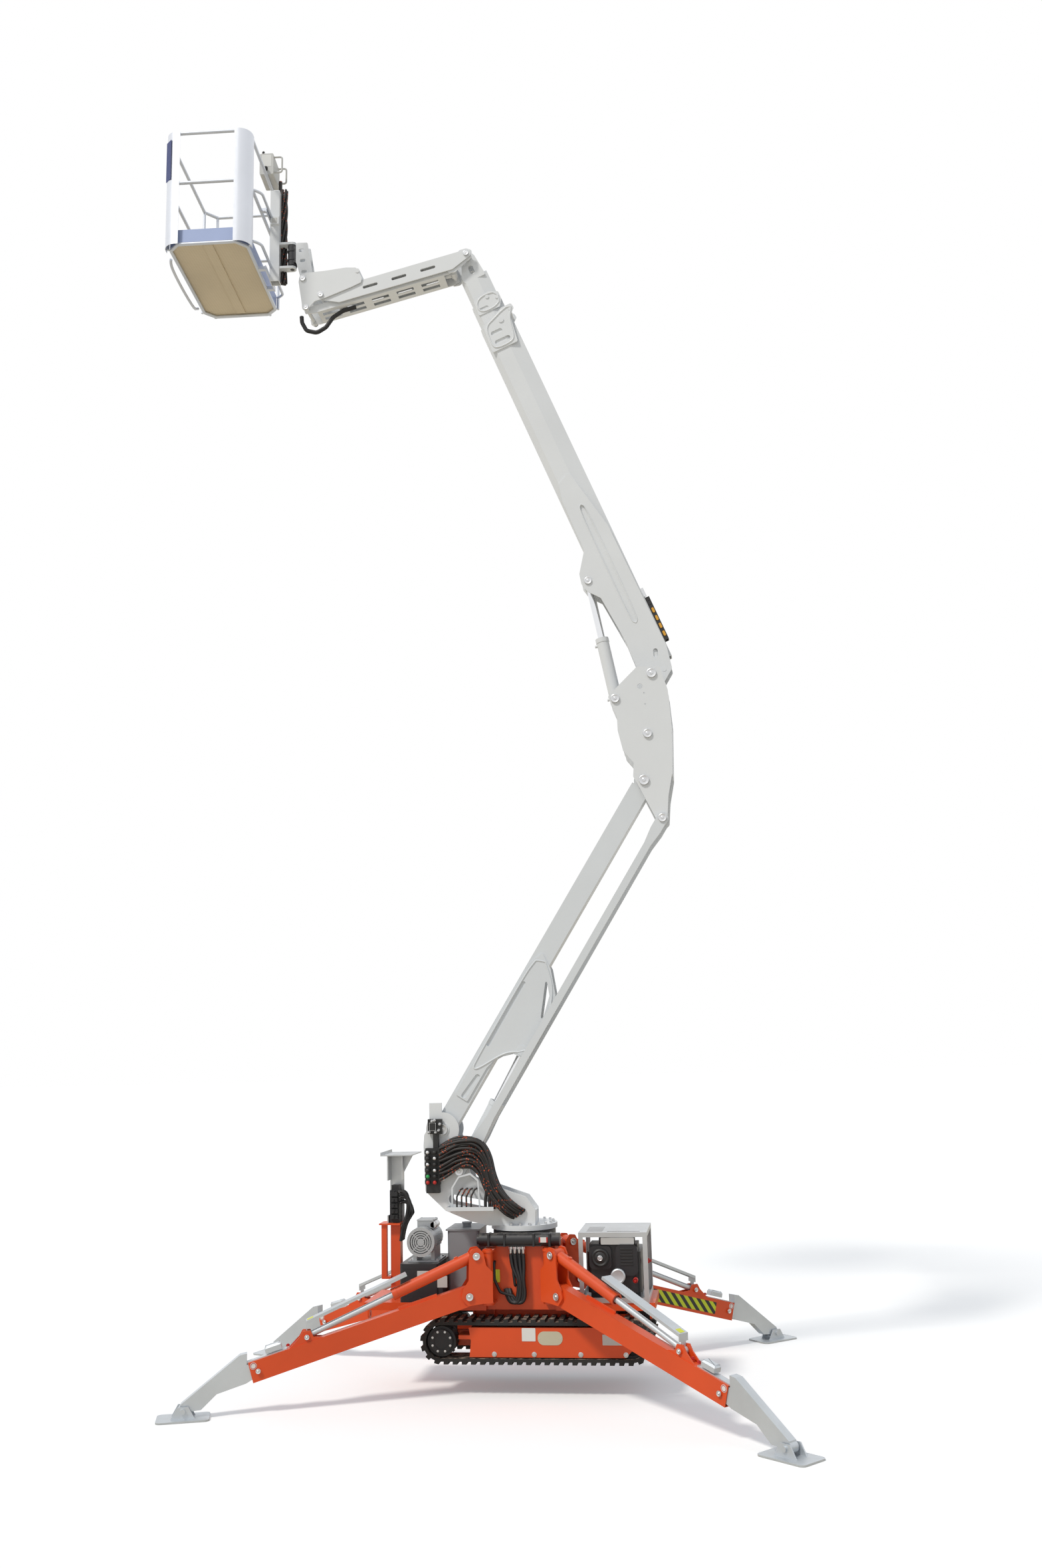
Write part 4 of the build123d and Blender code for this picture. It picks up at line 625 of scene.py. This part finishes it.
labelWhite = makeMaterial("blankLabel", (0.82, 0.82, 0.8), 0.45, drift=0.05, dust=0.05)
redPaint = makeMaterial("redPaint", (0.55, 0.02, 0.015), 0.35, drift=0.08, dust=0.05)
yellowTape = makeMaterial("yellowTape", (0.75, 0.78, 0.05), 0.4, drift=0.06, dust=0.05)
stripeTape = makeMaterial("stripedTape", (0.62, 0.72, 0.03), 0.42, drift=0.05, dust=0.05, pattern=hazard)
creamPlate = makeMaterial("creamPlate", (0.6, 0.56, 0.42), 0.45, drift=0.08, dust=0.05)
makeLegParts()

tape = {"u0": 0.82, "u1": 1.56, "low": 0.05, "high": -0.05, "thick": 0.0012}


# Striped tape along the side of the far rear leg
def makeStripes():
    leg = "far_rear"
    length, depth = tape["u1"] - tape["u0"], tape["low"] - tape["high"]
    for side in (-1, 1):
        strip = makePanel(length, depth, tape["thick"], 0.004, 2)
        r, z = alongBeam((tape["u0"] + tape["u1"]) / 2, 0)
        a = radians(legSpots[leg][2])
        along = Vector((cos(a) * cos(beamTilt), sin(a) * cos(beamTilt), sin(beamTilt)))
        out = legSide(leg, side)
        across = out.cross(along)
        turn = Matrix((along, across, out)).transposed().to_4x4()
        place = Matrix.Translation(onLeg(leg, r, side * 0.0462, z)) @ turn
        spread(strip, [place], "far_rear_stripes_" + ("left" if side < 0 else "right"), leg + "_leg",
               stripeTape)
        drop(strip)


makeStripes()
print("leg fittings")

# side frames of the tracks
trackSide = {"y": 0.385, "bolts": (-0.211, 0.11, 0.482, 0.84), "boltZ": 0.324,
             # plates: (width, height, thickness, corner, steps of its rounding), (x, z)
             "square": ((0.11, 0.1, 0.002, 0.004, 2), (0.069, 0.473)),
             "oval": ((0.2, 0.104, 0.002, 0.05, 8), (0.241, 0.446)),
             "grey": ((0.165, 0.08, 0.002, 0.003, 1), (0.74, 0.436)), "rivet": 0.085,
             "sprocket": {"x": -0.64, "y": 0.3925, "z": 0.418, "circle": 0.078, "count": 8}}


def makeTrackParts():
    bolt = makeBolt(0.014, 0.01)
    places = [sideFace(x, trackSide["y"] + 0.001, trackSide["boltZ"], side)
              for side in (-1, 1) for x in trackSide["bolts"]]
    spread(bolt, places, "track_frame_bolts", "chassis", steel)
    finishes = {"square": labelWhite, "oval": creamPlate, "grey": palePlastic}
    panels = {kind: makePanel(*trackSide[kind][0]) for kind in finishes}
    rivet = makeCap(0.005, 0.002, 0.5)
    y = trackSide["y"] + 0.0004
    for side, tag in ((-1, "near"), (1, "far")):
        for kind, finish in finishes.items():
            x, z = trackSide[kind][1]
            spread(panels[kind], [sideFace(x, y, z, side)], tag + "_" + kind + "_plate", "chassis", finish)
        x, z = trackSide["oval"][1]
        rivets = [sideFace(x + way * trackSide["rivet"], y + 0.002, z, side) for way in (-1, 1)]
        spread(rivet, rivets, tag + "_plate_rivets", "chassis", steel)
    # small bolts on a circle round each sprocket cover
    small = makeBolt(0.0065, 0.005)
    cover = trackSide["sprocket"]
    places = []
    for side in (-1, 1):
        for i in range(cover["count"]):
            a = radians(22.5 + i * 45)
            x, z = cover["x"] + cover["circle"] * cos(a), cover["z"] + cover["circle"] * sin(a)
            places.append(sideFace(x, cover["y"], z, side))
    spread(small, places, "sprocket_bolts", "chassis", steel)
    drop(bolt, rivet, small, *panels.values())


makeTrackParts()

# turning disc bolts
discBolts = {"count": 20, "circle": 0.245, "z": 1.299}


def makeDiscBolts():
    bolt = makeBolt(0.0105, 0.009, 1.3)
    places = []
    for i in range(discBolts["count"]):
        a = 2 * pi * i / discBolts["count"]
        places.append(facing(here(discBolts["circle"] * cos(a), discBolts["circle"] * sin(a),
                                  discBolts["z"] - 0.001), (0, 0, 1), a))
    spread(bolt, places, "turning_disc_bolts", "turret", steel)
    drop(bolt)


makeDiscBolts()
print("tracks and disc")

# control valves on the turret
valveKnobs = {"columns": (-0.75, -0.692), "low": 1.645, "step": 0.048, "count": 6, "y": -0.308,
              "ball": 0.0155}


# Ball knob on a short waisted neck
def makeKnob(radius):
    startClean()
    bpy.ops.mesh.primitive_uv_sphere_add(segments=18, ring_count=12, radius=radius,
                                         location=(0, 0, radius * 1.25))
    ball = settle(bpy.context.object)
    bpy.ops.mesh.primitive_cone_add(vertices=16, radius1=radius * 0.8, radius2=radius * 0.45, depth=radius,
                                    location=(0, 0, radius * 0.1))
    neck = settle(bpy.context.object)
    pick(neck, "edges", lambda a, b: max(a.z, b.z) < -radius * 0.35)
    bpy.ops.mesh.bevel(offset=radius * 0.15, segments=2)
    leaveEdit()
    return smooth(joined([ball, neck]), 40)


def makeValveKnobs():
    knob = makeKnob(valveKnobs["ball"])
    sets = {"silver": [], "black": [], "green": [], "red": []}
    for row in range(valveKnobs["count"]):
        z = valveKnobs["low"] + row * valveKnobs["step"]
        for column, x in enumerate(valveKnobs["columns"]):
            kind = "silver" if (row + column) % 2 else "black"
            if column == 0 and row == 1:
                kind = "green"
            if row == 0:
                kind = "red"
            sets[kind].append(nearFace(x, valveKnobs["y"] - 0.0002, z))
    finishes = {"silver": steel, "black": blackPlastic, "green": greenPlastic, "red": redPaint}
    for kind, places in sets.items():
        spread(knob, places, "valve_knobs_" + kind, "turret", finishes[kind])
    drop(knob)


greenPlastic = makeMaterial("greenPlastic", (0.03, 0.4, 0.1), 0.4, drift=0.05, dust=0.05)
makeValveKnobs()

# fittings crowded on the block above the knobs and at the hose ends
fittings = {"block": [(-0.745, 2.045), (-0.72, 2.135), (-0.69, 2.045), (-0.665, 2.06), (-0.655, 2.11),
                      (-0.7, 2.14)], "blockY": -0.265,
            "column": [(-0.664, 1.66 + i * 0.052) for i in range(5)]}


# Hexagon union with a round collar and a threaded nose
def makeFitting(radius, height):
    startClean()
    bpy.ops.mesh.primitive_cylinder_add(vertices=6, radius=radius, depth=height * 0.45,
                                        location=(0, 0, height * 0.22))
    nut = settle(bpy.context.object)
    pick(nut, "edges", lambda a, b: abs(a.z - b.z) < 1e-6)
    bpy.ops.mesh.bevel(offset=radius * 0.1, segments=1)
    leaveEdit()
    bpy.ops.mesh.primitive_cylinder_add(vertices=18, radius=radius * 0.72, depth=height * 0.55,
                                        location=(0, 0, height * 0.7))
    collar = settle(bpy.context.object)
    pick(collar, "faces", lambda c, n: n.z > 0.99)
    bpy.ops.mesh.inset(thickness=radius * 0.18)
    bpy.ops.transform.translate(value=(0, 0, height * 0.12))
    leaveEdit()
    return smooth(joined([nut, collar]), 30)


def makeTurretFittings():
    part = makeFitting(0.013, 0.032)
    places = [facing(here(x, fittings["blockY"], z), (0, -1, 0), x * 7) for x, z in fittings["block"]]
    places += [facing(here(x + 0.0035, -0.255, z), (1, 0, 0), z * 5) for x, z in fittings["column"]]
    spread(part, places, "turret_fittings", "turret", steel)
    panel = makePanel(0.05, 0.06, 0.003, 0.003, 1)
    frameEdge = makePanel(0.056, 0.066, 0.0018, 0.003, 1)
    spread(frameEdge, [nearFace(-0.715, -0.2822, 2.09)], "turret_panel_edge", "turret", steel)
    spread(panel, [nearFace(-0.715, -0.2836, 2.09)], "turret_panel", "turret", blackPlastic)
    drop(part, panel, frameEdge)


makeTurretFittings()
print("turret valves")

# electric motor: terminal box lid, capacitor, foot bolts and lid screws
motorParts = {"x": -0.822, "z": 1.17}


def makeMotorParts():
    x, z = motorParts["x"], motorParts["z"]
    lid = makePanel(0.15, 0.158, 0.012, 0.012, 3)
    spread(lid, [facing(here(x + 0.01, -0.075, z + 0.15), (0, 0, 1))], "terminal_lid", "chassis", motorGrey)
    startClean()
    bpy.ops.mesh.primitive_cylinder_add(vertices=26, radius=0.032, depth=0.13, location=(0, 0, 0.065))
    can = settle(bpy.context.object)
    pick(can, "edges", lambda a, b: abs(a.z - b.z) < 1e-6)
    bpy.ops.mesh.bevel(offset=0.008, segments=3)
    leaveEdit()
    smooth(can)
    spread(can, [facing(here(x + 0.075, -0.15, z + 0.118), (0, 1, 0))], "capacitor_can", "chassis", steel)
    bolt = makeBolt(0.009, 0.007)
    places = [facing(here(x + dx, dy, 1.0125), (0, 0, 1)) for dx in (-0.11, 0.11) for dy in (-0.17, 0.07)]
    lidBolts = [facing(here(x + 0.01 + dx, -0.075 + dy, z + 0.162), (0, 0, 1)) for dx in (-0.06, 0.06)
                for dy in (-0.062, 0.062)]
    spread(bolt, places, "motor_foot_bolts", "chassis", steel)
    small = makeBolt(0.004, 0.003)
    spread(small, lidBolts, "terminal_lid_screws", "chassis", steel)
    drop(lid, can, bolt, small)


makeMotorParts()

# engine: cover rim, knob, guard over the silencer, pulley and red cap
engineParts = {"y": -0.2585, "recoil": (0.65, 1.04), "bossY": -0.2822, "pulley": (0.79, -0.2752, 0.9),
               "louvres": {"x": 0.862, "low": 0.985, "step": 0.024, "count": 6},
               "shield": (0.79, -0.2395, 1.165), "endCap": (0.99, -0.15, 1.0), "nearCap": (0.93, 0.87)}


# Round cover with stepped rings, as on a recoil housing
def makeDial(radius, height, rings=3):
    startClean()
    bpy.ops.mesh.primitive_cylinder_add(vertices=40, radius=radius, depth=height, location=(0, 0, height / 2))
    obj = settle(bpy.context.object)
    for i in range(rings):
        pick(obj, "faces", lambda c, n: n.z > 0.99 and c.length < radius * 0.2 + height)
        bpy.ops.mesh.inset(thickness=radius * 0.18)
        bpy.ops.transform.translate(value=(0, 0, height * (0.35 if i % 2 == 0 else -0.3)))
        leaveEdit()
    pick(obj, "edges", lambda a, b: abs(a.xy.length - radius) < 1e-4 and abs(b.xy.length - radius) < 1e-4
         and a.z > 0 and abs(a.z - b.z) < 1e-6)
    bpy.ops.mesh.bevel(offset=height * 0.25, segments=2)
    leaveEdit()
    return smooth(obj, 30)


def makeEngineParts():
    y = engineParts["y"]
    x, z = engineParts["recoil"]
    dial = makeDial(0.072, 0.02)
    spread(dial, [nearFace(x, y, z)], "recoil_cover", "chassis", blackPlastic)
    knob = makeCap(0.022, 0.014, 0.4)
    spread(knob, [nearFace(x, engineParts["bossY"], z)], "recoil_boss", "chassis", steel)
    wheel = makeDial(0.06, 0.016, 2)
    spread(wheel, [nearFace(*engineParts["pulley"])], "pulley_face", "chassis", zincPale)
    louvre = makePanel(0.1, 0.012, 0.006, 0.003, 2)
    row = engineParts["louvres"]
    places = [nearFace(row["x"], y, row["low"] + i * row["step"]) for i in range(row["count"])]
    spread(louvre, places, "air_cover_louvres", "chassis", blackPlastic)
    shield = makePanel(0.27, 0.055, 0.004, 0.008, 3)
    spread(shield, [nearFace(*engineParts["shield"])], "silencer_shield", "chassis", steel)
    cap = makeCap(0.02, 0.05, 0.5)
    x, z = engineParts["nearCap"]
    spread(cap, [facing(here(*engineParts["endCap"]), (1, 0, 0)), nearFace(x, y, z)], "oil_caps",
           "chassis", redPaint)
    drop(dial, knob, wheel, louvre, shield, cap)


makeEngineParts()
print("motor and engine")

# plates and tags left blank
def makeTags():
    tag = makePanel(0.08, 0.1, 0.0015, 0.006, 3)
    spread(tag, [nearFace(-0.215, -0.2557, 0.9)], "green_tag", "chassis", yellowTape)
    card = makePanel(0.11, 0.09, 0.0015, 0.004, 2)
    spread(card, [nearFace(-0.8, -0.2925, 0.9), nearFace(-0.66, -0.2905, 0.86)], "box_plates", "chassis",
           palePlastic)
    small = makePanel(0.07, 0.04, 0.0015, 0.002, 1)
    spread(small, [nearFace(0.2, -0.3422, 1.19)], "worm_housing_plate", "chassis", labelWhite)
    ends = makePanel(0.012, 0.04, 0.0019, 0.001, 1)
    spread(ends, [nearFace(0.2 + dx, -0.3422, 1.19) for dx in (-0.03, 0.03)], "worm_plate_ends", "chassis",
           redPaint)
    patch = makePanel(0.05, 0.05, 0.001, 0.001, 1)
    for leg in ("near_front", "near_rear", "far_front", "far_rear"):
        base, eye = Vector((-0.06, 1.085)), Vector((1.28, 0.545))
        along = (eye - base).normalized()
        above = Vector((-along.y, along.x))
        spot = base + along * ((eye - base).length - 0.075) + above * 0.1124
        normal = onLeg(leg, above.x, 0, above.y) - onLeg(leg, 0, 0, 0)
        spread(patch, [facing(onLeg(leg, spot.x, 0, spot.y), normal)], leg + "_cover_patch",
               leg + "_leg_rod", yellowTape)
    drop(tag, card, small, ends, patch)


makeTags()
print("blank tags")

# tubes and rims from smooth lines: a mesh tube along a NURBS line, ring sets how round its section is
def tubeLine(points, radius, closed=False, order=3, steps=8, ring=5):
    curve = bpy.data.curves.new("line", "CURVE")
    curve.dimensions = "3D"
    spline = curve.splines.new("NURBS")
    spline.points.add(len(points) - 1)
    for point, place in zip(spline.points, points):
        point.co = (*place, 1)
    spline.order_u = order
    spline.use_endpoint_u = not closed
    spline.use_cyclic_u = closed
    spline.resolution_u = steps
    curve.bevel_depth = radius
    curve.bevel_resolution = ring
    curve.use_fill_caps = not closed
    obj = bpy.data.objects.new("line", curve)
    bpy.context.scene.collection.objects.link(obj)
    startClean()
    obj.select_set(True)
    bpy.context.view_layer.objects.active = obj
    bpy.ops.object.convert(target="MESH")
    return smooth(bpy.context.object, 50)


# A point on the boom: u along it from its foot pin, n to its upper side
def boomPoint(u, n, y):
    a = radians(111.7)
    return here(1.2613 + u * cos(a) + n * sin(a), boomY + y, 5.8909 + u * sin(a) - n * cos(a))


def armPoint(u, n, y):
    a = radians(58)
    return here(-0.644 + u * cos(a) + n * sin(a), armY + y, 2.063 + u * sin(a) - n * cos(a))


# Raised rim round an opening, with a point each side of every corner
def rimLoop(corners, place, y, radius, rounding):
    points = []
    count = len(corners)
    for i, corner in enumerate(corners):
        for other in (corners[i - 1], corners[(i + 1) % count]):
            length = hypot(other[0] - corner[0], other[1] - corner[1])
            share = min(rounding / length, 0.45)
            points.append([a + (b - a) * share for a, b in zip(corner, other)])
    return tubeLine([place(u, n, y) for u, n in points], radius, closed=True, order=3)


# Corners of a long hole
def capsule(u0, u1, n, half):
    return [(u0 - half, n - half), (u1 + half, n - half), (u1 + half, n + half), (u0 - half, n + half)]


rims = {"boomSide": 0.0985, "midSide": 0.0803, "armSide": 0.0875, "slot": (0.587, 1.761, 0.082, 0.036),
        # corners along and across the boom or the arm
        "boomHead": [(3.58, -0.04), (3.58, 0.185), (3.83, 0.218), (3.9, 0.28), (3.932, 0.27),
                     (3.928, 0.195), (3.88, 0.1), (3.835, -0.025)],
        "midHead": [(3.995, -0.012), (3.995, 0.178), (4.062, 0.216), (4.122, 0.216), (4.164, 0.147),
                    (4.136, -0.004)],
        "fin": [(0.86, 0.15), (0.87, 0.27), (1.01, 0.306), (1.18, 0.302), (1.42, 0.254), (1.6, 0.1),
                (1.67, -0.015), (1.54, -0.055), (0.7, -0.05), (0.5, -0.04)]}


def makeRims():
    made = []
    for y in (-rims["boomSide"], rims["boomSide"]):
        made.append(rimLoop(capsule(*rims["slot"]), boomPoint, y, 0.005, 0.036))
        made.append(rimLoop(rims["boomHead"], boomPoint, y, 0.008, 0.04))
    dress(joined(made), "boom_side_rims", "boom_outer", white)
    made = [rimLoop(rims["midHead"], boomPoint, side * rims["midSide"], 0.008, 0.04) for side in (-1, 1)]
    dress(joined(made), "mid_head_rims", "boom_middle", white)
    made = [rimLoop(rims["fin"], armPoint, side * rims["armSide"], 0.007, 0.07) for side in (-1, 1)]
    dress(joined(made), "fin_rims", "arm", armGrey)


makeRims()
print("rims")

# energy chain inserts and its clamp
chainParts = {"u0": 0.31, "step": 0.04, "top": 0.248, "inserts": (1, 3, 5, 7)}


def makeChainParts():
    insert = makePanel(0.05, 0.022, 0.004, 0.009, 4)
    a = radians(111.7)
    along, out = Vector((cos(a), 0, sin(a))), Vector((0, -1, 0))
    turn = Matrix((along, out.cross(along), out)).transposed().to_4x4()
    places = []
    for i in chainParts["inserts"]:
        spot = boomPoint(chainParts["u0"] + (i + 0.5) * chainParts["step"], chainParts["top"] + 0.025, -0.036)
        places.append(Matrix.Translation(spot) @ turn)
    spread(insert, places, "chain_inserts", "boom_outer", amber)
    clamp = makePanel(0.09, 0.03, 0.003, 0.003, 1)
    spread(clamp, [Matrix.Translation(boomPoint(0.8, chainParts["top"] + 0.012, -0.03)) @ turn],
           "chain_clamp", "boom_outer", steel)
    drop(insert, clamp)


amber = makeMaterial("amberPlastic", (0.85, 0.42, 0.04), 0.4, drift=0.05, dust=0.0)
makeChainParts()

# basket: bent corner sheets, side loops, a blank decal and a square plate on the post
basket = {"axis": (-2.11, 0.11), "turn": 5.0, "centre": -0.672, "width": 0.82, "length": 1.4, "corner": 0.118,
          "floor": 10.25, "height": 1.15, "sheet": 0.004, "flange": 0.03, "tube": 0.0135,
          # the side loops' heights over the floor, how far out each point is, and its place along
          "loopHeights": (0.08, 0.62),
          "sideLoop": [(-0.01, -0.5), (0.06, -0.45), (0.06, -0.36), (0.06, 0.2), (0.06, 0.42), (0.06, 0.47),
                       (-0.01, 0.52)],
          # the low loop's places along the basket, and how far each hangs below the sheets
          "lowLoop": [(-0.44, 0.02), (-0.4, 0.06), (-0.2, 0.08), (0.1, 0.08), (0.36, 0.06), (0.42, 0.02)]}


def inBasket(x, y, z):
    a = radians(basket["turn"])
    return here(basket["axis"][0] + x * cos(a) - y * sin(a), basket["axis"][1] + x * sin(a) + y * cos(a), z)


def basketMatrix(x, y, z, turn=0.0):
    return Matrix.Translation(inBasket(x, y, z)) @ Matrix.Rotation(radians(basket["turn"] + turn), 4, "Z")


# Quarter-round sheet with two flat flanges, thickened and eased
def makeCornerSheet(low, high):
    r = basket["corner"]
    startClean()
    bpy.ops.mesh.primitive_cylinder_add(vertices=48, radius=r, depth=high - low, end_fill_type="NOTHING",
                                        location=(0, 0, (high - low) / 2))
    obj = settle(bpy.context.object)
    pick(obj, "faces", lambda c, n: not (n.x > 0.01 and n.y < -0.01))
    bpy.ops.mesh.delete(type="FACE")
    leaveEdit()
    for test, move in ((lambda a, b: abs(a.x) < 1e-4 and abs(b.x) < 1e-4 and abs(a.z - b.z) > 0.1,
                        (-basket["flange"], 0, 0)),
                       (lambda a, b: abs(a.y) < 1e-4 and abs(b.y) < 1e-4 and abs(a.z - b.z) > 0.1,
                        (0, basket["flange"], 0))):
        pick(obj, "edges", test)
        bpy.ops.mesh.extrude_region_move(TRANSFORM_OT_translate={"value": move})
        leaveEdit()
    thick = obj.modifiers.new("thick", "SOLIDIFY")
    thick.thickness = basket["sheet"]
    thick.offset = 1.0
    bpy.context.view_layer.objects.active = obj
    bpy.ops.object.modifier_apply(modifier="thick")
    pick(obj, "faces", lambda c, n: True)
    bpy.ops.mesh.normals_make_consistent(inside=False)
    leaveEdit()
    return smooth(obj, 30)


def makeBasketParts():
    low, high = basket["floor"] - 0.03, basket["floor"] + basket["height"]
    cx, w, l, c = basket["centre"], basket["width"] / 2, basket["length"] / 2, basket["corner"]
    sheetPiece = makeCornerSheet(low, high)
    right = basketMatrix(cx + w - c, -l + c, low)
    left = basketMatrix(cx - w + c, -l + c, low, -90)
    spread(sheetPiece, [right, left], "basket_corner_sheets", "basket", brightAlloy)
    drop(sheetPiece)
    made = []
    for rise in basket["loopHeights"]:
        line = [inBasket(cx + w + out, y, basket["floor"] + rise) for out, y in basket["sideLoop"]]
        made.append(tubeLine(line, basket["tube"], steps=10))
    x = cx - w - 0.001
    line = [inBasket(cx - w + 0.01, -0.46, low - 0.01)]
    line += [inBasket(x, y, low - below) for y, below in basket["lowLoop"]]
    line.append(inBasket(cx - w + 0.01, 0.44, low - 0.01))
    made.append(tubeLine(line, basket["tube"], steps=10))
    dress(joined(made), "basket_side_loops", "basket", alloy)
    decal = makePanel(0.09, 0.42, 0.0008, 0.004, 2)
    a = radians(basket["turn"] - 135)
    normal = Vector((cos(a), sin(a), 0))
    spot = inBasket(cx - w + c, -l + c, basket["floor"] + 0.86) + normal * (c + basket["sheet"] + 0.0003)
    spread(decal, [facing(spot, normal)], "blank_post_decal", "basket", darkBlue)
    plate = makePanel(0.085, 0.085, 0.006, 0.006, 2)
    inner = makePanel(0.05, 0.05, 0.004, 0.004, 2)
    spot = inBasket(-0.17, -0.0545, basket["floor"] + 0.58)
    normal = inBasket(-0.17, -1, 0) - inBasket(-0.17, 0, 0)
    spread(plate, [facing(spot, normal)], "post_square_plate", "basket", white)
    spread(inner, [facing(spot + normal.normalized() * 0.006, normal)], "post_square_plate_face", "basket",
           palePlastic)
    drop(decal, plate, inner)


brightAlloy = makeMaterial("brightSheet", (0.8, 0.83, 0.9), 0.3, metallic=0.6, drift=0.08, dust=0.0,
                           grain=90.0, bump=0.02)
darkBlue = makeMaterial("darkBlueFilm", (0.03, 0.05, 0.2), 0.4, drift=0.08, dust=0.0)
makeBasketParts()
print("basket")

# hose bundles
turretBundle = {"outer": [(-0.655, 1.93), (-0.56, 1.985), (-0.45, 2.005), (-0.31, 1.985), (-0.235, 1.86),
                          (-0.205, 1.68), (-0.13, 1.54), (0.0, 1.43)],
                "inner": [(-0.655, 1.66), (-0.58, 1.69), (-0.5, 1.75), (-0.4, 1.78), (-0.315, 1.7),
                          (-0.29, 1.6), (-0.22, 1.48), (-0.1, 1.37)],
                "across": 8, "layers": (-0.238, -0.262, -0.306), "radius": 0.0125, "wall": -0.222}


# Hoses from the valve bank over the guard and down into the shoulder of the turret
def makeTurretBundle():
    made = []
    for layer, y in enumerate(turretBundle["layers"]):
        for i in range(turretBundle["across"]):
            k = (i + 0.35 * layer) / turretBundle["across"]
            line = []
            for j, (a, b) in enumerate(zip(turretBundle["outer"], turretBundle["inner"])):
                sway = 0.008 * sin(j * 1.7 + i * 2.1 + layer)
                line.append(here(a[0] + (b[0] - a[0]) * k, y + sway, a[1] + (b[1] - a[1]) * k + sway))
            end = line[-1] + Vector((0.04, 0, -0.02))
            line.append(Vector((end.x, turretBundle["wall"] - 0.01, end.z)))
            made.append(tubeLine(line, turretBundle["radius"], ring=2, steps=4))
    dress(joined(made), "turret_hose_bundle", "turret", hoseSpeckled)


lowerBundle = {"starts": (-0.075, -0.04, -0.005, 0.03), "top": 1.135, "y": -0.3, "radius": 0.015,
               # x of the first hose, step to the next, y from the bundle, height
               "route": [(-0.01, 0.012, -0.01, 0.88), (-0.02, 0.02, 0.0, 0.77), (-0.04, 0.02, 0.0, 0.7),
                         (-0.09, 0.012, 0.008, 0.7), (-0.12, 0.012, 0.02, 0.76)],
               "end": (-0.13, 0.012, -0.262, 0.8)}


# Thick hoses gathered below the slewing ring, with bright unions above them
def makeLowerBundle():
    made, unions = [], []
    for i, x in enumerate(lowerBundle["starts"]):
        y = lowerBundle["y"] - 0.008 * (i % 2)
        line = [here(x, y, lowerBundle["top"] - 0.06), here(x + 0.004, y, 0.98)]
        line += [here(first + step * i, y + out, z) for first, step, out, z in lowerBundle["route"]]
        first, step, wall, z = lowerBundle["end"]
        line.append(here(first + step * i, wall, z))
        made.append(tubeLine(line, lowerBundle["radius"], ring=2, steps=5))
        unions.append(facing(here(x, y, lowerBundle["top"]), (0, 0, -1), i))
    dress(joined(made), "lower_hoses", "chassis", hose)
    union = makeFitting(0.017, 0.05)
    spread(union, unions, "lower_hose_unions", "chassis", steel)
    drop(union)


mastBundle = {"x": -1.06, "count": 6, "y": -0.07, "pitch": 0.022, "radius": 0.011, "top": 1.55, "row": 0.045,
              "reach": 0.05, "fan": 0.012, "bend": 1.36, "tail": [(0.03, 1.26), (0.015, 1.15)]}


# Hoses that leave the mast's valves and drop behind the motor
def makeMastBundle():
    made, unions = [], []
    x = mastBundle["x"]
    for i in range(mastBundle["count"]):
        y = mastBundle["y"] + i * mastBundle["pitch"]
        z = mastBundle["top"] - mastBundle["row"] * (i % 3)
        out = mastBundle["reach"] + mastBundle["fan"] * (i % 3)
        line = [here(x, y, z), here(x + out, y, z + 0.01), here(x + out + 0.03, y + 0.006, z - 0.09)]
        line.append(here(x + out + 0.02, y + 0.01, mastBundle["bend"]))
        line += [here(x + away, y, height) for away, height in mastBundle["tail"]]
        made.append(tubeLine(line, mastBundle["radius"], ring=2, steps=5))
        unions.append(facing(here(x + 0.0005, y, z), (1, 0, 0), i))
    dress(joined(made), "mast_hoses", "chassis", hose)
    union = makeFitting(0.0105, 0.03)
    spread(union, unions, "mast_hose_unions", "chassis", steel)
    drop(union)


basketBundle = {"x": -0.098, "y": 0.05, "low": 10.2, "high": 11.22, "reach": 0.026, "radius": 0.012,
                "count": 5, "points": 10, "twist": 0.75}


# Hoses twisted together down the basket's post
def makeBasketBundle():
    made = []
    reach, low, high = (basketBundle[k] for k in ("reach", "low", "high"))
    for i in range(basketBundle["count"]):
        line = []
        for k in range(basketBundle["points"]):
            a = i * 2 * pi / basketBundle["count"] + k * basketBundle["twist"]
            z = low + (high - low) * k / (basketBundle["points"] - 1)
            line.append(inBasket(basketBundle["x"] + reach * cos(a), basketBundle["y"] + reach * sin(a), z))
        made.append(tubeLine(line, basketBundle["radius"], ring=2, steps=4))
    dress(joined(made), "basket_hose_bundle", "basket", hoseSpeckled)


makeTurretBundle()
makeLowerBundle()
makeMastBundle()
makeBasketBundle()
print("hose bundles")

# operator's panel: lever knobs, a dark knob and its blank face
panelParts = {"x": -0.278, "levers": (0.07, 0.12, 0.17, 0.22), "top": 11.4}


def makePanelParts():
    ball = makeKnob(0.014)
    places = [basketMatrix(panelParts["x"] - 0.044, y, panelParts["top"] + 0.259)
              for y in panelParts["levers"]]
    spread(ball, places, "panel_lever_knobs", "basket", blackPlastic)
    near = inBasket(0, -1, 0) - inBasket(0, 0, 0)
    knob = makeKnob(0.02)
    spread(knob, [facing(inBasket(panelParts["x"], 0.0195, panelParts["top"] + 0.05), near)], "panel_knob",
           "basket", blackPlastic)
    face = makePanel(0.1, 0.13, 0.0015, 0.006, 2)
    spread(face, [facing(inBasket(panelParts["x"], 0.0198, panelParts["top"] + 0.15), near)], "panel_face",
           "basket", labelWhite)
    drop(ball, knob, face)


makePanelParts()
print("operator's panel")
